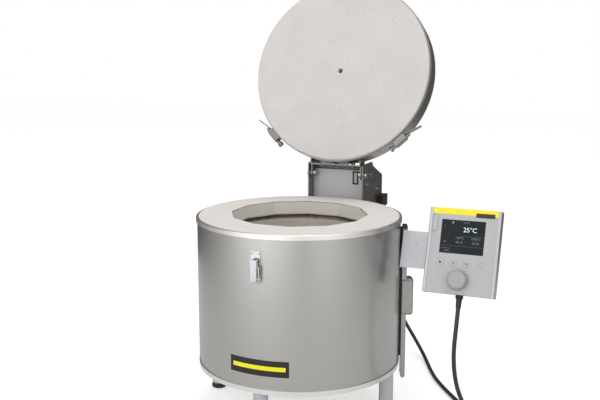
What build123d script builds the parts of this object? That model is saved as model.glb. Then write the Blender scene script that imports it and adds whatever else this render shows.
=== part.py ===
from build123d import *
from math import cos, degrees, pi, radians, sin, sqrt, tan
import os

# Plug-in top-loading kiln on four legs, with a hinged lid and a controller on a side holder.
# Origin: the kiln's axis at the standing surface. +Z is up, the latch faces -Y, the lid's
# hinge is at +Y and the controller at +X. The lid is modelled open, as it rests on its stop.
# All sizes are in millimetres.

# Clearances
FIT = 0.3
RUNNING = 0.06
TOUCH = 0.0

# Stand
FOOT_HEIGHT = 12.0
FOOT_R = 17.0
FOOT_HOLE_R = 3.0
LEG_HEIGHT = 88.0
LEG_R = 15.5
LEG_WALL = 2.0
LEG_CIRCLE_R = 205.0
LEG_COUNT = 4

# Body shell
JACKET_R = 222.0
JACKET_SHEET = 1.0
JACKET_HEIGHT = 328.3
SEAM_WIDTH = 22.0
SEAM_ANGLE = 205.0
PAN_SHEET = 1.5
PAN_RIM_HEIGHT = 10.0
PAN_DRAIN_R = 4.0
PAN_DRAIN_CIRCLE_R = 90.0
LIP_SHEET = 1.2
LIP_STANDOFF = 1.8
LIP_DROP = 8.8
LIP_SHOULDER = 2.2

# Lining
FACETS = 12
CHAMBER_INRADIUS = 144.0
BRICK_THICK = 50.0
BRICK_JOINT = 0.5
FLOOR_BOARD_THICK = 48.5
FLOOR_BRICK_THICK = 53.0
COLLAR_THICK = 28.0
COLLAR_PROUD = 2.0
COLLAR_GAP = 0.5
COLLAR_EDGE_R = 3.0
COLLAR_INNER_CHAMFER = 2.0

# Heating element grooves and their terminals
GROOVE_COUNT = 6
GROOVE_PITCH = 32.0
GROOVE_HEIGHT = 11.0
GROOVE_DEPTH = 12.0
GROOVE_TOP_LAND = 2.5
ELEMENT_SIDE = 7.0
ELEMENT_CHAMFER = 2.0
TERMINAL_R = 3.0
TERMINAL_X = 22.0
TERMINAL_PROUD = 34.0
BUSH_R = 7.0
BUSH_PROUD = 14.0
PROBE_R = 4.0
PROBE_REACH = 22.0
PROBE_HEIGHT = 317.0
PROBE_HEAD = (30.0, 22.0, 26.0)

# Lid and its hinge
LID_GAP = 0.4
LID_BRICK_R = 217.0
LID_BRICK_THICK = 59.0
LID_EDGE_R = 3.0
LID_VENT_R = 6.0
LID_BAND_SHEET = 1.2
LID_BAND_INSET = 4.0
LID_COVER_SHEET = 1.0
HINGE_Y = 243.0
HINGE_RISE = 54.0
LID_OPEN_ANGLE = 106.0
PIN_R = 5.0
PIN_HEAD_R = 8.5
PIN_HEAD = 5.0
EAR_SHEET = 3.0
EAR_INNER_X = 61.5
EAR_BOSS_R = 12.0
WEB_GAP = 2.6
WEB_HEIGHT = 33.0
WEB_TOP_LAND = 1.6
TIE_X = 22.0
TIE_WIDTH = 26.0
BRACKET_BOLT_XS = (-40.0, 0.0, 40.0)
STOP_R = 5.0

# Perforated strap round the lid and its two worm clamps
STRAP_SHEET = 1.4
STRAP_WIDTH = 18.0
STRAP_RISE = 4.0
STRAP_SLOTS = 40
STRAP_SLOT = (9.0, 3.0)
CLAMP_ANGLES = (45.0, 135.0)
CLAMP_BODY = (15.0, 32.0, 20.0)
CLAMP_SCREW_R = 4.5
CLAMP_SCREW_LENGTH = 52.0
CLAMP_HEAD_R = 6.5
CLAMP_HEAD_LENGTH = 6.0
CLAMP_TAIL = (1.4, 46.0, 15.0)
CLAMP_TAIL_TURN = 14.0

# Lid handle and keeper
HANDLE_R = 5.0
HANDLE_HALF_SPAN = 55.0
HANDLE_REACH = 50.0
HANDLE_DROP = 17.5
HANDLE_BEND_R = 14.0
HANDLE_FLANGE_R = 11.0
HANDLE_FLANGE = 2.5
KEEPER_WIDTH = 13.0
KEEPER_SHEET = 2.0
KEEPER_FLANGE_WIDTH = 30.0
KEEPER_FLANGE_HEIGHT = 22.0
KEEPER_STANDOFF = 2.6
KEEPER_HOOK_DROP = 40.0
KEEPER_HOOK_DEPTH = 4.6
KEEPER_HOOK_LIP = 7.0

# Draw latch on the jacket
LATCH_PIVOT_Z = 376.0
LATCH_BASE_WIDTH = 21.0
LATCH_BASE_TOP = 20.0
LATCH_BASE_DROP = 38.0
LATCH_SHEET = 1.5
LATCH_PIVOT_OUT = 7.5
LATCH_PIN_R = 1.6
LATCH_EAR_INNER = 3.0
LATCH_EAR_TOP = 3.0
LATCH_LEVER_HALF = 6.9
LATCH_LEVER_LENGTH = 39.0
LATCH_LEVER_TOP = 4.0
LATCH_LEVER_OUT = 5.5
BAIL_DROP = 10.0
BAIL_OUT = 1.5
BAIL_R = 1.4
BAIL_HALF = 9.9
BAIL_LENGTH = 33.0
BAIL_CORNER_R = 4.0

# Switch housing behind the body
PLATE_INNER_X = 68.0
PLATE_SHEET = 3.0
PLATE_FRONT_Y = 227.0
HOUSING_BACK_Y = 383.5
HOUSING_BOTTOM_Z = 150.0
HOUSING_SHEET = 1.5
PLATE_BOTTOM_Z = 330.0
PLATE_NECK_RISE = 26.0
NECK_BACK_Y = 300.0
SHOULDER = (306.0, 16.0)
STEP = (343.0, 0.0)
REAR_FALL = 16.0
PANEL_Y = 257.5
SHELF_Z = 415.0
COVER_TOP_RISE = 8.8
COVER_BREAK_Y = 303.0
COVER_BACK_FALL = 20.5
LOUVRES = 9
LOUVRE = (84.0, 4.0)
LOUVRE_PITCH = 13.0
LOUVRE_BOTTOM_Z = 215.0
BOLT_R = 4.5
BOLT_HEAD = 3.2
PLATE_BOLTS = ((287.0, 483.0), (262.0, 462.0), (262.0, 410.0), (340.0, 440.0), (250.0, 345.0), (346.0, 345.0))
LABEL_SLOT = (16.0, 34.0)
LABEL_X = 42.0
LABEL_Z = 477.0
LABEL_RECESS = 0.7

# Connections at the housing
CONNECTOR = (14.0, 40.0, 28.0)
CONNECTOR_Y = 370.0
CONNECTOR_Z = 393.0
GLAND_R = 9.0
GLAND_NUT = 7.0
GLAND_TIP_R = 6.2
GLAND_LENGTH = 27.0
MAINS_BORE_R = 5.0
MAINS_X = -38.0
MAINS_Z = 182.0
MAINS_LENGTH = 34.0
MAINS_NUT_R = 13.0
RELAY = (58.0, 30.0, 48.0)
RELAY_Z = 350.0
TERMINAL_BLOCK = (84.0, 24.0, 30.0)
TERMINAL_WAYS = 6

# Controller holder on the jacket
RAIL_ANGLE = 20.0
RAIL_WIDTH = 30.0
RAIL_DEPTH = 10.0
RAIL_BOTTOM_Z = 62.0
RAIL_TOP_Z = 403.0
RAIL_GROOVE = (12.0, 5.0)
RAIL_END_R = 4.5
RAIL_STANDOFF = 5.0
STRIP_WIDTH = 18.0
STRIP_BOTTOM_Z = 112.0
RAIL_CAP_HEIGHT = 5.0
RAIL_SCREW_R = 4.5
RAIL_SCREW_HEAD = 3.0
RAIL_SCREW_INSET = 30.0
CLAMP_BLOCK_BOTTOM_Z = 208.0
CLAMP_BLOCK_HEIGHT = 82.0
CLAMP_BLOCK_WALL = 3.0
CLAMP_BLOCK_PROUD = 15.0
CLAMP_BLOCK_EDGE_R = 5.0

# Controller, in its own plane: x across, y up the face, z out of the face
FACE_CENTRE = (361.0, -1.0, 379.0)
FACE_LEAN = 20.0
CASE_WIDTH = 148.0
CASE_HEIGHT = 177.0
CASE_DEPTH = 44.0
SIDE_RAIL_WIDTH = 6.5
SIDE_RAIL_DEPTH = 26.0
SIDE_RAIL_PROUD = 1.2
FASCIA_THICK = 3.0
CASE_WALL = 2.5
CASE_CORNER_R = 8.0
SCREEN_SIZE = (90.5, 70.0)
SCREEN_AT = (-2.0, 29.5)
SCREEN_RECESS = 1.5
SCREEN_PROUD = 0.2
KEY_XS = (-42.3, -14.9, 11.8, 39.4)
KEY_NAMES = ("key_run", "key_menu", "key_back", "key_info")
KEY_Y = -25.0
KEY_R = 7.0
KEY_GAP = 0.3
KEY_PROUD = 0.8
KEY_FLANGE = 1.0
KEY_TRAVEL = 0.8
DIAL_AT = (-2.9, -59.0)
DIAL_R = 21.0
DIAL_HEIGHT = 15.0
DIAL_GAP = 1.3
SPINDLE_R = 3.0
SPINDLE_LENGTH = 22.0
ENCODER = (16.0, 16.0, 9.0)
ENCODER_BACK = 5.5
FLAP_SIZE = (10.5, 32.0)
FLAP_AT = (-61.3, 55.5)
FLAP_THICK = 2.0
FLAP_HINGE_R = 1.3
FLAP_PIN_R = 0.6
FLAP_LIFT = 0.25
USB_PORT = (5.0, 13.0)
BOARD_THICK = 1.6
BOARD_BACK = 16.0
BOARD_MARGIN = 6.0
BOSS_R = 4.0
BOSS_INSET = 14.0
MAT_THICK = 1.5
MAT_MARGIN = 3.6
CASE_GLAND_Z = -22.0
CASE_GLAND_LENGTH = 26.5

# Holder plate, in the controller's plane
HOLDER_LEFT = -138.5
HOLDER_RIGHT = 40.0
HOLDER_BOTTOM = -39.5
HOLDER_TOP = 40.5
HOLDER_SHEET = 2.0
HOLDER_RETURN = 7.0
BRACKET_SHEET = 3.0
BRACKET_BOTTOM_Z = 338.0
BRACKET_HEIGHT = 52.0
BRACKET_REACH = 62.0
BRACKET_TAB = 26.0
HOLDER_SCREW_R = 3.5
HOLDER_SCREW_HEAD = 2.2

# Controller cable: from the controller's gland, over the floor, up to the connector
CABLE_R = 4.5
CABLE_ROUTE = (
    (361.0, -19.66, 263.41), (361.0, -34.02, 223.94), (358.5, -38.0, 182.0), (359.5, -36.0, 140.0),
    (365.0, -30.0, 100.0), (374.0, -14.0, 62.0), (382.0, 14.0, 30.0), (380.0, 50.0, 10.0),
    (363.0, 84.0, 4.7), (339.0, 115.0, 4.6), (313.0, 150.0, 4.6), (286.0, 189.0, 4.6),
    (259.0, 232.0, 4.6), (236.0, 279.0, 4.6), (215.0, 328.0, 5.2), (192.0, 372.0, 12.0),
    (164.0, 398.0, 38.0), (137.0, 402.0, 76.0), (116.0, 397.0, 120.0), (99.0, 389.0, 166.0),
    (87.0, 381.0, 215.0), (80.0, 374.0, 266.0), (78.0, 370.0, 317.0), (78.0, 370.0, 366.0),
)

# Heights and radii that follow from the sizes above
pan_z = FOOT_HEIGHT + LEG_HEIGHT
jacket_z0 = pan_z + PAN_SHEET
jacket_z1 = jacket_z0 + JACKET_HEIGHT
lip_r = JACKET_R + LIP_STANDOFF + LIP_SHEET
lip_inner_r = JACKET_R - 2.2
lip_top_z = jacket_z1 + LIP_SHEET
collar_z1 = lip_top_z + COLLAR_PROUD
collar_z0 = collar_z1 - COLLAR_THICK
collar_r = lip_inner_r - FIT
board_z1 = jacket_z0 + FLOOR_BOARD_THICK
chamber_z0 = board_z1 + FLOOR_BRICK_THICK
lining_r = JACKET_R - JACKET_SHEET - FIT
brick_outer = CHAMBER_INRADIUS + BRICK_THICK
element_mid = CHAMBER_INRADIUS + GROOVE_DEPTH - ELEMENT_SIDE / 2.0 - FIT
groove_zs = [
    collar_z0 - GROOVE_TOP_LAND - GROOVE_HEIGHT / 2.0 - i * GROOVE_PITCH for i in range(GROOVE_COUNT)
]
lid_z0 = collar_z1 + LID_GAP
lid_z1 = lid_z0 + LID_BRICK_THICK
lid_top_z = lid_z1 + LID_COVER_SHEET
band_r = LID_BRICK_R + FIT + LID_BAND_SHEET
strap_z0 = lid_z0 + LID_BAND_INSET + STRAP_RISE
strap_r = band_r + FIT + STRAP_SHEET
hinge_z = collar_z1 + HINGE_RISE
web_y0 = strap_r + WEB_GAP
web_z1 = lid_top_z + WEB_TOP_LAND
web_z0 = web_z1 - WEB_HEIGHT
ear_outer_x = EAR_INNER_X + EAR_SHEET
plate_outer_x = PLATE_INNER_X + PLATE_SHEET
cover_top_z = hinge_z + COVER_TOP_RISE
cover_back_z = hinge_z - COVER_BACK_FALL
latch_y = -(JACKET_R + LATCH_PIVOT_OUT)
bail_y = latch_y - BAIL_OUT
bail_z = LATCH_PIVOT_Z - BAIL_DROP
rail_r0 = JACKET_R + RAIL_STANDOFF
rail_r1 = rail_r0 + RAIL_DEPTH
face_half = CASE_WIDTH / 2.0 - SIDE_RAIL_WIDTH
half_height = CASE_HEIGHT / 2.0
holder_z = -CASE_DEPTH - HOLDER_SHEET

hinge_axis = Axis((0, HINGE_Y, hinge_z), (1, 0, 0))
face_plane = Plane(
    origin=FACE_CENTRE,
    x_dir=(1, 0, 0),
    z_dir=(0, -cos(radians(FACE_LEAN)), sin(radians(FACE_LEAN))),
)


# Helpers
def block(x0, x1, y0, y1, z0, z1):
    """A box between two corners."""
    centre = ((x0 + x1) / 2.0, (y0 + y1) / 2.0, (z0 + z1) / 2.0)
    return Pos(*centre) * Box(abs(x1 - x0), abs(y1 - y0), abs(z1 - z0))


def drum(radius, z0, z1, x=0.0, y=0.0):
    """A vertical cylinder between two heights."""
    return Pos(x, y, (z0 + z1) / 2.0) * Cylinder(radius, z1 - z0)


def tube(outer, inner, z0, z1, x=0.0, y=0.0):
    """A vertical tube between two heights."""
    return drum(outer, z0, z1, x, y) - drum(inner, z0 - 1, z1 + 1, x, y)


def rod_x(radius, x0, x1, y, z):
    """A round rod along X."""
    return Pos((x0 + x1) / 2.0, y, z) * Rot(0, 90, 0) * Cylinder(radius, abs(x1 - x0))


def rod_y(radius, y0, y1, x, z):
    """A round rod along Y."""
    return Pos(x, (y0 + y1) / 2.0, z) * Rot(90, 0, 0) * Cylinder(radius, abs(y1 - y0))


def slab_yz(points, x0, x1):
    """A flat plate drawn in the YZ plane, between two X places."""
    plane = Plane(origin=(x0, 0, 0), x_dir=(0, 1, 0), z_dir=(1, 0, 0))
    return extrude(plane * make_face(Polyline(*points, close=True)), x1 - x0)


def slab_xz(points, y0, y1):
    """A flat plate drawn in the XZ plane, between two Y places."""
    plane = Plane(origin=(0, y1, 0), x_dir=(1, 0, 0), z_dir=(0, -1, 0))
    return extrude(plane * make_face(Polyline(*points, close=True)), y1 - y0)


def turned(points):
    """A solid of revolution about Z from an outline of (radius, height) points."""
    return revolve(Plane.XZ * make_face(Polyline(*points, close=True)), Axis.Z)


def faceted(inradius, z0, z1):
    """A prism with the chamber's number of flat sides, one of them facing +X."""
    step = 2 * pi / FACETS
    corner = inradius / cos(step / 2)
    points = [(corner * cos((i + 0.5) * step), corner * sin((i + 0.5) * step)) for i in range(FACETS)]
    return extrude(Plane.XY.offset(z0) * make_face(Polyline(*points, close=True)), z1 - z0)


def around(shape, angle):
    """A shape turned about the kiln's axis."""
    return Rot(0, 0, angle) * shape


def opened(shape):
    """A piece of the lid, turned from its closed place to its resting place."""
    return shape.rotate(hinge_axis, -LID_OPEN_ANGLE)


def on_face(shape):
    """A piece of the controller, moved from its own plane to its place."""
    return face_plane.location * shape


def group(pieces):
    """Several separate solids of one kind in one node."""
    return Compound(children=[solid for piece in pieces for solid in piece.solids()])


def longest_edges(part, axis, length):
    """The straight edges of a part that run along an axis and are at least so long."""
    return [edge for edge in part.edges().filter_by(axis) if edge.length >= length]


# Stand and body shell
def foot_pads():
    pads = []
    for i in range(LEG_COUNT):
        pad = turned([
            (FOOT_HOLE_R, 0), (FOOT_R - 1.5, 0), (FOOT_R, 1.5), (FOOT_R, FOOT_HEIGHT * 0.6),
            (LEG_R, FOOT_HEIGHT), (FOOT_HOLE_R, FOOT_HEIGHT),
        ])
        pads.append(around(Pos(LEG_CIRCLE_R, 0, 0) * pad, i * 360.0 / LEG_COUNT))
    return group(pads)


def legs():
    tubes = []
    for i in range(LEG_COUNT):
        leg = drum(LEG_R, FOOT_HEIGHT, pan_z, LEG_CIRCLE_R)
        inside = drum(LEG_R - LEG_WALL, FOOT_HEIGHT + LEG_WALL, pan_z - LEG_WALL, LEG_CIRCLE_R)
        screw_hole = drum(FOOT_HOLE_R, FOOT_HEIGHT - 1, FOOT_HEIGHT + LEG_WALL + 1, LEG_CIRCLE_R)
        tubes.append(around(leg - inside - screw_hole, i * 360.0 / LEG_COUNT))
    return group(tubes)


def base_pan():
    outer = JACKET_R + FIT + PAN_SHEET
    pan = drum(outer, pan_z, pan_z + PAN_RIM_HEIGHT)
    pan -= drum(JACKET_R + FIT, jacket_z0, pan_z + PAN_RIM_HEIGHT + 1)
    for i in range(LEG_COUNT):
        angle = radians((i + 0.5) * 360.0 / LEG_COUNT)
        x = PAN_DRAIN_CIRCLE_R * cos(angle)
        y = PAN_DRAIN_CIRCLE_R * sin(angle)
        pan -= drum(PAN_DRAIN_R, pan_z - 1, jacket_z0 + 1, x, y)
    return pan


def wall_passages(clearance):
    """The round ways through the rear wall for the two terminals and the probe."""
    reach = JACKET_R + 10
    ways = rod_y(BUSH_R + clearance, brick_outer - 12, reach, -TERMINAL_X, groove_zs[0])
    ways += rod_y(BUSH_R + clearance, brick_outer - 12, reach, TERMINAL_X, groove_zs[-1])
    ways += rod_y(PROBE_R + clearance, CHAMBER_INRADIUS - 1, reach, 0, PROBE_HEIGHT)
    ways += rod_y(TERMINAL_R + clearance, element_mid, reach, -TERMINAL_X, groove_zs[0])
    ways += rod_y(TERMINAL_R + clearance, element_mid, reach, TERMINAL_X, groove_zs[-1])
    return ways


def jacket():
    shell = tube(JACKET_R, JACKET_R - JACKET_SHEET, jacket_z0, jacket_z1)
    seam = tube(JACKET_R + JACKET_SHEET, JACKET_R - JACKET_SHEET / 2, pan_z + PAN_RIM_HEIGHT + FIT, jacket_z1 - LIP_DROP - 1)
    wedge = block(JACKET_R - 5, JACKET_R + 5, -SEAM_WIDTH / 2, SEAM_WIDTH / 2, jacket_z0, jacket_z1)
    shell += seam & around(wedge, SEAM_ANGLE)
    return shell - wall_passages(FIT)


def lip_trim():
    inner = lip_r - LIP_SHEET
    return turned([
        (inner, jacket_z1 - LIP_DROP), (lip_r, jacket_z1 - LIP_DROP), (lip_r, lip_top_z - LIP_SHOULDER),
        (lip_r - LIP_SHOULDER * 0.3, lip_top_z - LIP_SHOULDER * 0.3), (lip_r - LIP_SHOULDER, lip_top_z),
        (lip_inner_r, lip_top_z), (lip_inner_r, jacket_z1),
        (inner, jacket_z1),
    ])


# Lining
def collar_brick():
    ring = drum(collar_r, collar_z0, collar_z1)
    ring = fillet(ring.edges().group_by(Axis.Z)[-1], COLLAR_EDGE_R)
    ring -= faceted(CHAMBER_INRADIUS, collar_z0 - 1, collar_z1 + 1)
    flare = COLLAR_INNER_CHAMFER
    step = 2 * pi / FACETS
    for i in range(FACETS):
        edge = Plane(origin=(CHAMBER_INRADIUS, 0, collar_z1), z_dir=(1, 0, 1))
        length = 2 * (CHAMBER_INRADIUS + flare) * tan(step / 2)
        cutter = edge.location * Box(length, length, flare * sqrt(2))
        cutter &= block(CHAMBER_INRADIUS - 5, CHAMBER_INRADIUS + 5, -length / 2, length / 2, collar_z0, collar_z1 + 5)
        ring -= around(cutter, degrees(i * step))
    return ring


def wall_brick(index):
    step = 2 * pi / FACETS
    inner = CHAMBER_INRADIUS
    slope = tan(step / 2)
    gap = BRICK_JOINT / 2
    outline = [
        (inner, -(inner * slope - gap)), (brick_outer, -(brick_outer * slope - gap)),
        (brick_outer, brick_outer * slope - gap), (inner, inner * slope - gap),
    ]
    brick = extrude(Plane.XY.offset(board_z1) * make_face(Polyline(*outline, close=True)), collar_z0 - board_z1)
    for z in groove_zs:
        half = GROOVE_HEIGHT / 2
        width = brick_outer
        brick -= block(inner - 1, inner + GROOVE_DEPTH, -width, width, z - half, z + half)
    return around(brick, degrees(index * step))


def wall_bricks():
    passages = wall_passages(FIT)
    rear = FACETS // 4
    bricks = []
    for i in range(FACETS):
        brick = wall_brick(i)
        bricks.append(brick - passages if i == rear else brick)
    return group(bricks)


def wall_insulation():
    ring = drum(lining_r, board_z1, collar_z0)
    ring -= faceted(brick_outer + FIT, board_z1 - 1, collar_z0 + 1)
    return ring - wall_passages(FIT)


def floor_insulation():
    return drum(lining_r, jacket_z0, board_z1)


def floor_brick():
    return faceted(CHAMBER_INRADIUS - BRICK_JOINT, board_z1, chamber_z0)


def heating_element():
    half = ELEMENT_SIDE / 2
    coils = []
    for z in groove_zs:
        coil = faceted(element_mid + half, z - half, z + half)
        coil = chamfer(coil.edges().filter_by(Plane.XY), ELEMENT_CHAMFER)
        core = faceted(element_mid - half, z - half - 1, z + half + 1)
        coils.append(coil - core)
    return group(coils)


def element_terminals():
    start = element_mid + ELEMENT_SIDE / 2
    end = JACKET_R + TERMINAL_PROUD
    rods = [rod_y(TERMINAL_R, start, end, -TERMINAL_X, groove_zs[0])]
    rods.append(rod_y(TERMINAL_R, start, end, TERMINAL_X, groove_zs[-1]))
    return group(rods)


def terminal_bushes():
    start = brick_outer - 12 + FIT
    end = JACKET_R + BUSH_PROUD
    bushes = []
    for x, z in ((-TERMINAL_X, groove_zs[0]), (TERMINAL_X, groove_zs[-1])):
        bushes.append(rod_y(BUSH_R, start, end, x, z) - rod_y(TERMINAL_R + FIT, start - 1, end + 1, x, z))
    return group(bushes)


def thermocouple():
    tip = CHAMBER_INRADIUS - PROBE_REACH
    width, depth, height = PROBE_HEAD
    sheath = rod_y(PROBE_R, tip, JACKET_R + 6, 0, PROBE_HEIGHT)
    head = block(-width / 2, width / 2, JACKET_R + 4, JACKET_R + 4 + depth, PROBE_HEIGHT - height / 2, PROBE_HEIGHT + height / 2)
    return sheath + head


# Lid
def lid_brick():
    slab = drum(LID_BRICK_R, lid_z0, lid_z1)
    slab = fillet(slab.edges().group_by(Axis.Z)[0], LID_EDGE_R)
    slab -= drum(LID_VENT_R, lid_z0 - 1, lid_z1 + 1)
    return opened(slab)


def lid_band():
    return opened(tube(band_r, band_r - LID_BAND_SHEET, lid_z0 + LID_BAND_INSET, lid_top_z))


def lid_cover():
    sheet = drum(LID_BRICK_R, lid_z1, lid_top_z) - drum(LID_VENT_R + 1, lid_z1 - 1, lid_top_z + 1)
    return opened(sheet)


def lid_strap():
    strap = tube(strap_r, strap_r - STRAP_SHEET, strap_z0, strap_z0 + STRAP_WIDTH)
    length, height = STRAP_SLOT
    middle = strap_z0 + STRAP_WIDTH / 2
    for i in range(STRAP_SLOTS):
        slot = block(strap_r - 5, strap_r + 5, -height / 2, height / 2, middle - length / 2, middle + length / 2)
        strap -= around(slot, (i + 0.5) * 360.0 / STRAP_SLOTS)
    return opened(strap)


def strap_clamps():
    depth, length, height = CLAMP_BODY
    middle = strap_z0 + STRAP_WIDTH / 2
    r0 = strap_r + FIT
    clamps = []
    for angle in CLAMP_ANGLES:
        body = block(r0 - 2, r0 + depth, -length / 2, length / 2, middle - height / 2, middle + height / 2)
        body = fillet(longest_edges(body, Axis.Y, length), 3.0)
        body -= drum(strap_r + FIT, middle - height, middle + height)
        mid_r = r0 + depth * 0.62
        half = CLAMP_SCREW_LENGTH / 2
        screw = rod_y(CLAMP_SCREW_R, -half, half, mid_r, middle)
        screw += rod_y(CLAMP_HEAD_R, half, half + CLAMP_HEAD_LENGTH, mid_r, middle)
        sheet, tail_length, tail_width = CLAMP_TAIL
        tail = block(0, sheet, 0, tail_length, -tail_width / 2, tail_width / 2)
        tail = Pos(r0 + 2.5, -length / 2 + 2, middle) * Rot(0, 0, 180 + CLAMP_TAIL_TURN) * Pos(-sheet, 0, 0) * tail
        mirrored = angle > 90
        clamp = body + screw + tail
        if mirrored:
            clamp = clamp.mirror(Plane.XZ)
        clamps.append(opened(around(clamp, angle)))
    return group(clamps)


def lid_bracket():
    web = block(-ear_outer_x, ear_outer_x, web_y0, web_y0 + EAR_SHEET, web_z0, web_z1)
    bracket = web
    back = web_y0 + EAR_SHEET
    for side in (-1, 1):
        x0 = EAR_INNER_X if side > 0 else -ear_outer_x
        ear = slab_yz(
            [
                (web_y0 - 30, web_z0), (back, web_z0), (back, hinge_z - EAR_BOSS_R - 4),
                (HINGE_Y, hinge_z - EAR_BOSS_R), (HINGE_Y, web_z1), (web_y0 - 30, web_z1),
            ],
            x0, x0 + EAR_SHEET,
        )
        ear += rod_x(EAR_BOSS_R, x0, x0 + EAR_SHEET, HINGE_Y, hinge_z)
        ear -= rod_x(PIN_R + RUNNING, x0 - 1, x0 + EAR_SHEET + 1, HINGE_Y, hinge_z)
        bracket += ear
        tie_x = side * TIE_X
        bracket += block(tie_x - TIE_WIDTH / 2, tie_x + TIE_WIDTH / 2, web_y0 - 14, web_y0, web_z0, web_z0 + EAR_SHEET)
    for x in BRACKET_BOLT_XS:
        bolt_end = web_y0 + EAR_SHEET + BOLT_HEAD
        bracket += rod_y(BOLT_R, band_r - 12, bolt_end, x, web_z0 + WEB_HEIGHT * 0.6)
    bracket -= drum(band_r, web_z0 - 5, web_z1 + 5)
    return opened(bracket)


def lid_handle():
    z = lid_top_z - HANDLE_DROP
    x = HANDLE_HALF_SPAN
    start = -sqrt(band_r ** 2 - x ** 2)
    front = start - HANDLE_REACH
    path = FilletPolyline((-x, start, z), (-x, front, z), (x, front, z), (x, start, z), radius=HANDLE_BEND_R)
    bar = sweep(Plane(origin=path @ 0, z_dir=path % 0) * Circle(HANDLE_R), path=path)
    for side in (-1, 1):
        bar += rod_y(HANDLE_FLANGE_R, start - HANDLE_FLANGE - 3, start + 8, side * x, z)
    bar -= drum(band_r, z - 40, z + 40)
    return opened(bar)


def lid_keeper():
    z1 = lid_top_z - 3.0
    z0 = z1 - KEEPER_FLANGE_HEIGHT
    front = -(lip_r + KEEPER_STANDOFF)
    sheet = KEEPER_SHEET
    hook_z = lid_z0 - KEEPER_HOOK_DROP
    lip_y = front - sheet - KEEPER_HOOK_DEPTH
    flange = block(-KEEPER_FLANGE_WIDTH / 2, KEEPER_FLANGE_WIDTH / 2, front - sheet, -band_r + 3, z0, z1)
    flange -= drum(band_r, z0 - 1, z1 + 1)
    flange -= block(-KEEPER_FLANGE_WIDTH, KEEPER_FLANGE_WIDTH, front, -band_r + 5, z0 + 4, z1 - 4)
    tongue = block(-KEEPER_WIDTH / 2, KEEPER_WIDTH / 2, front - sheet, front, hook_z, z0 + 4)
    ledge = block(-KEEPER_WIDTH / 2, KEEPER_WIDTH / 2, lip_y - sheet, front, hook_z, hook_z + sheet)
    lip = block(-KEEPER_WIDTH / 2, KEEPER_WIDTH / 2, lip_y - sheet, lip_y, hook_z, hook_z + KEEPER_HOOK_LIP)
    return opened(flange + tongue + ledge + lip)


# Draw latch
def latch_base():
    half = LATCH_BASE_WIDTH / 2
    z0 = LATCH_PIVOT_Z - LATCH_BASE_DROP
    z1 = LATCH_PIVOT_Z + LATCH_BASE_TOP
    plate = block(-half, half, -JACKET_R - LATCH_SHEET, -JACKET_R + 3, z0, z1)
    plate -= drum(JACKET_R, z0 - 1, z1 + 1)
    for side in (-1, 1):
        x0 = side * LATCH_EAR_INNER
        x1 = side * (LATCH_EAR_INNER + LATCH_SHEET)
        ear = block(x0, x1, latch_y, -JACKET_R - 1, LATCH_PIVOT_Z - 6, LATCH_PIVOT_Z + LATCH_EAR_TOP)
        ear += rod_x(3.4, x0, x1, latch_y, LATCH_PIVOT_Z)
        plate += ear
    plate -= rod_x(LATCH_PIN_R, -half, half, latch_y, LATCH_PIVOT_Z)
    return plate


def latch_pin():
    reach = LATCH_LEVER_HALF + 0.2
    pin = rod_x(LATCH_PIN_R, -reach, reach, latch_y, LATCH_PIVOT_Z)
    return pin


def latch_lever():
    half = LATCH_LEVER_HALF
    front = latch_y - LATCH_LEVER_OUT
    z0 = LATCH_PIVOT_Z - LATCH_LEVER_LENGTH
    z1 = LATCH_PIVOT_Z + LATCH_LEVER_TOP
    lever = block(-half, half, front, front + LATCH_SHEET, z0, z1)
    lip = block(-half, half, front - 3.5, front + 1, z0, z0 + LATCH_SHEET)
    for side in (-1, 1):
        x1 = side * half
        x0 = side * (half - LATCH_SHEET)
        cheek = block(x0, x1, front, latch_y + 3.4, bail_z - 4, z1)
        cheek -= rod_x(LATCH_PIN_R + RUNNING, -half - 1, half + 1, latch_y, LATCH_PIVOT_Z)
        cheek -= rod_x(BAIL_R + RUNNING, -half - 1, half + 1, bail_y, bail_z)
        lever += cheek
    return lever + lip


def latch_bail():
    end = LATCH_LEVER_HALF - LATCH_SHEET
    low = bail_z - BAIL_LENGTH
    side = BAIL_HALF
    path = FilletPolyline(
        (-end, bail_y, bail_z), (-side, bail_y, bail_z), (-side, bail_y, low),
        (side, bail_y, low), (side, bail_y, bail_z), (end, bail_y, bail_z),
        radius=[BAIL_R * 1.2, BAIL_CORNER_R, BAIL_CORNER_R, BAIL_R * 1.2],
    )
    wire = sweep(Plane(origin=path @ 0, z_dir=path % 0) * Circle(BAIL_R), path=path)
    return wire


# Hinge plates and switch housing
def plate_outline(inset):
    neck_z = hinge_z + PLATE_NECK_RISE
    return [
        (PLATE_FRONT_Y, PLATE_BOTTOM_Z), (PLATE_FRONT_Y, neck_z), (NECK_BACK_Y, neck_z),
        (SHOULDER[0], hinge_z + SHOULDER[1]), (STEP[0], hinge_z + STEP[1]),
        (HOUSING_BACK_Y + inset, hinge_z - REAR_FALL), (HOUSING_BACK_Y + inset, PLATE_BOTTOM_Z),
    ]


def hinge_plates():
    plates = []
    for side in (-1, 1):
        x0 = PLATE_INNER_X if side > 0 else -plate_outer_x
        plate = slab_yz(plate_outline(0.0), x0, x0 + PLATE_SHEET)
        plate = fillet(plate.edges().filter_by(Axis.X), 3.0)
        plate -= rod_x(PIN_R + TOUCH, x0 - 1, x0 + PLATE_SHEET + 1, HINGE_Y, hinge_z)
        plates.append(plate)
    return group(plates)


def plate_bolts():
    bolts = []
    for side in (-1, 1):
        x0 = side * plate_outer_x
        for y, z in PLATE_BOLTS:
            bolts.append(rod_x(BOLT_R, x0, x0 + side * BOLT_HEAD, y, z))
    return group(bolts)


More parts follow.
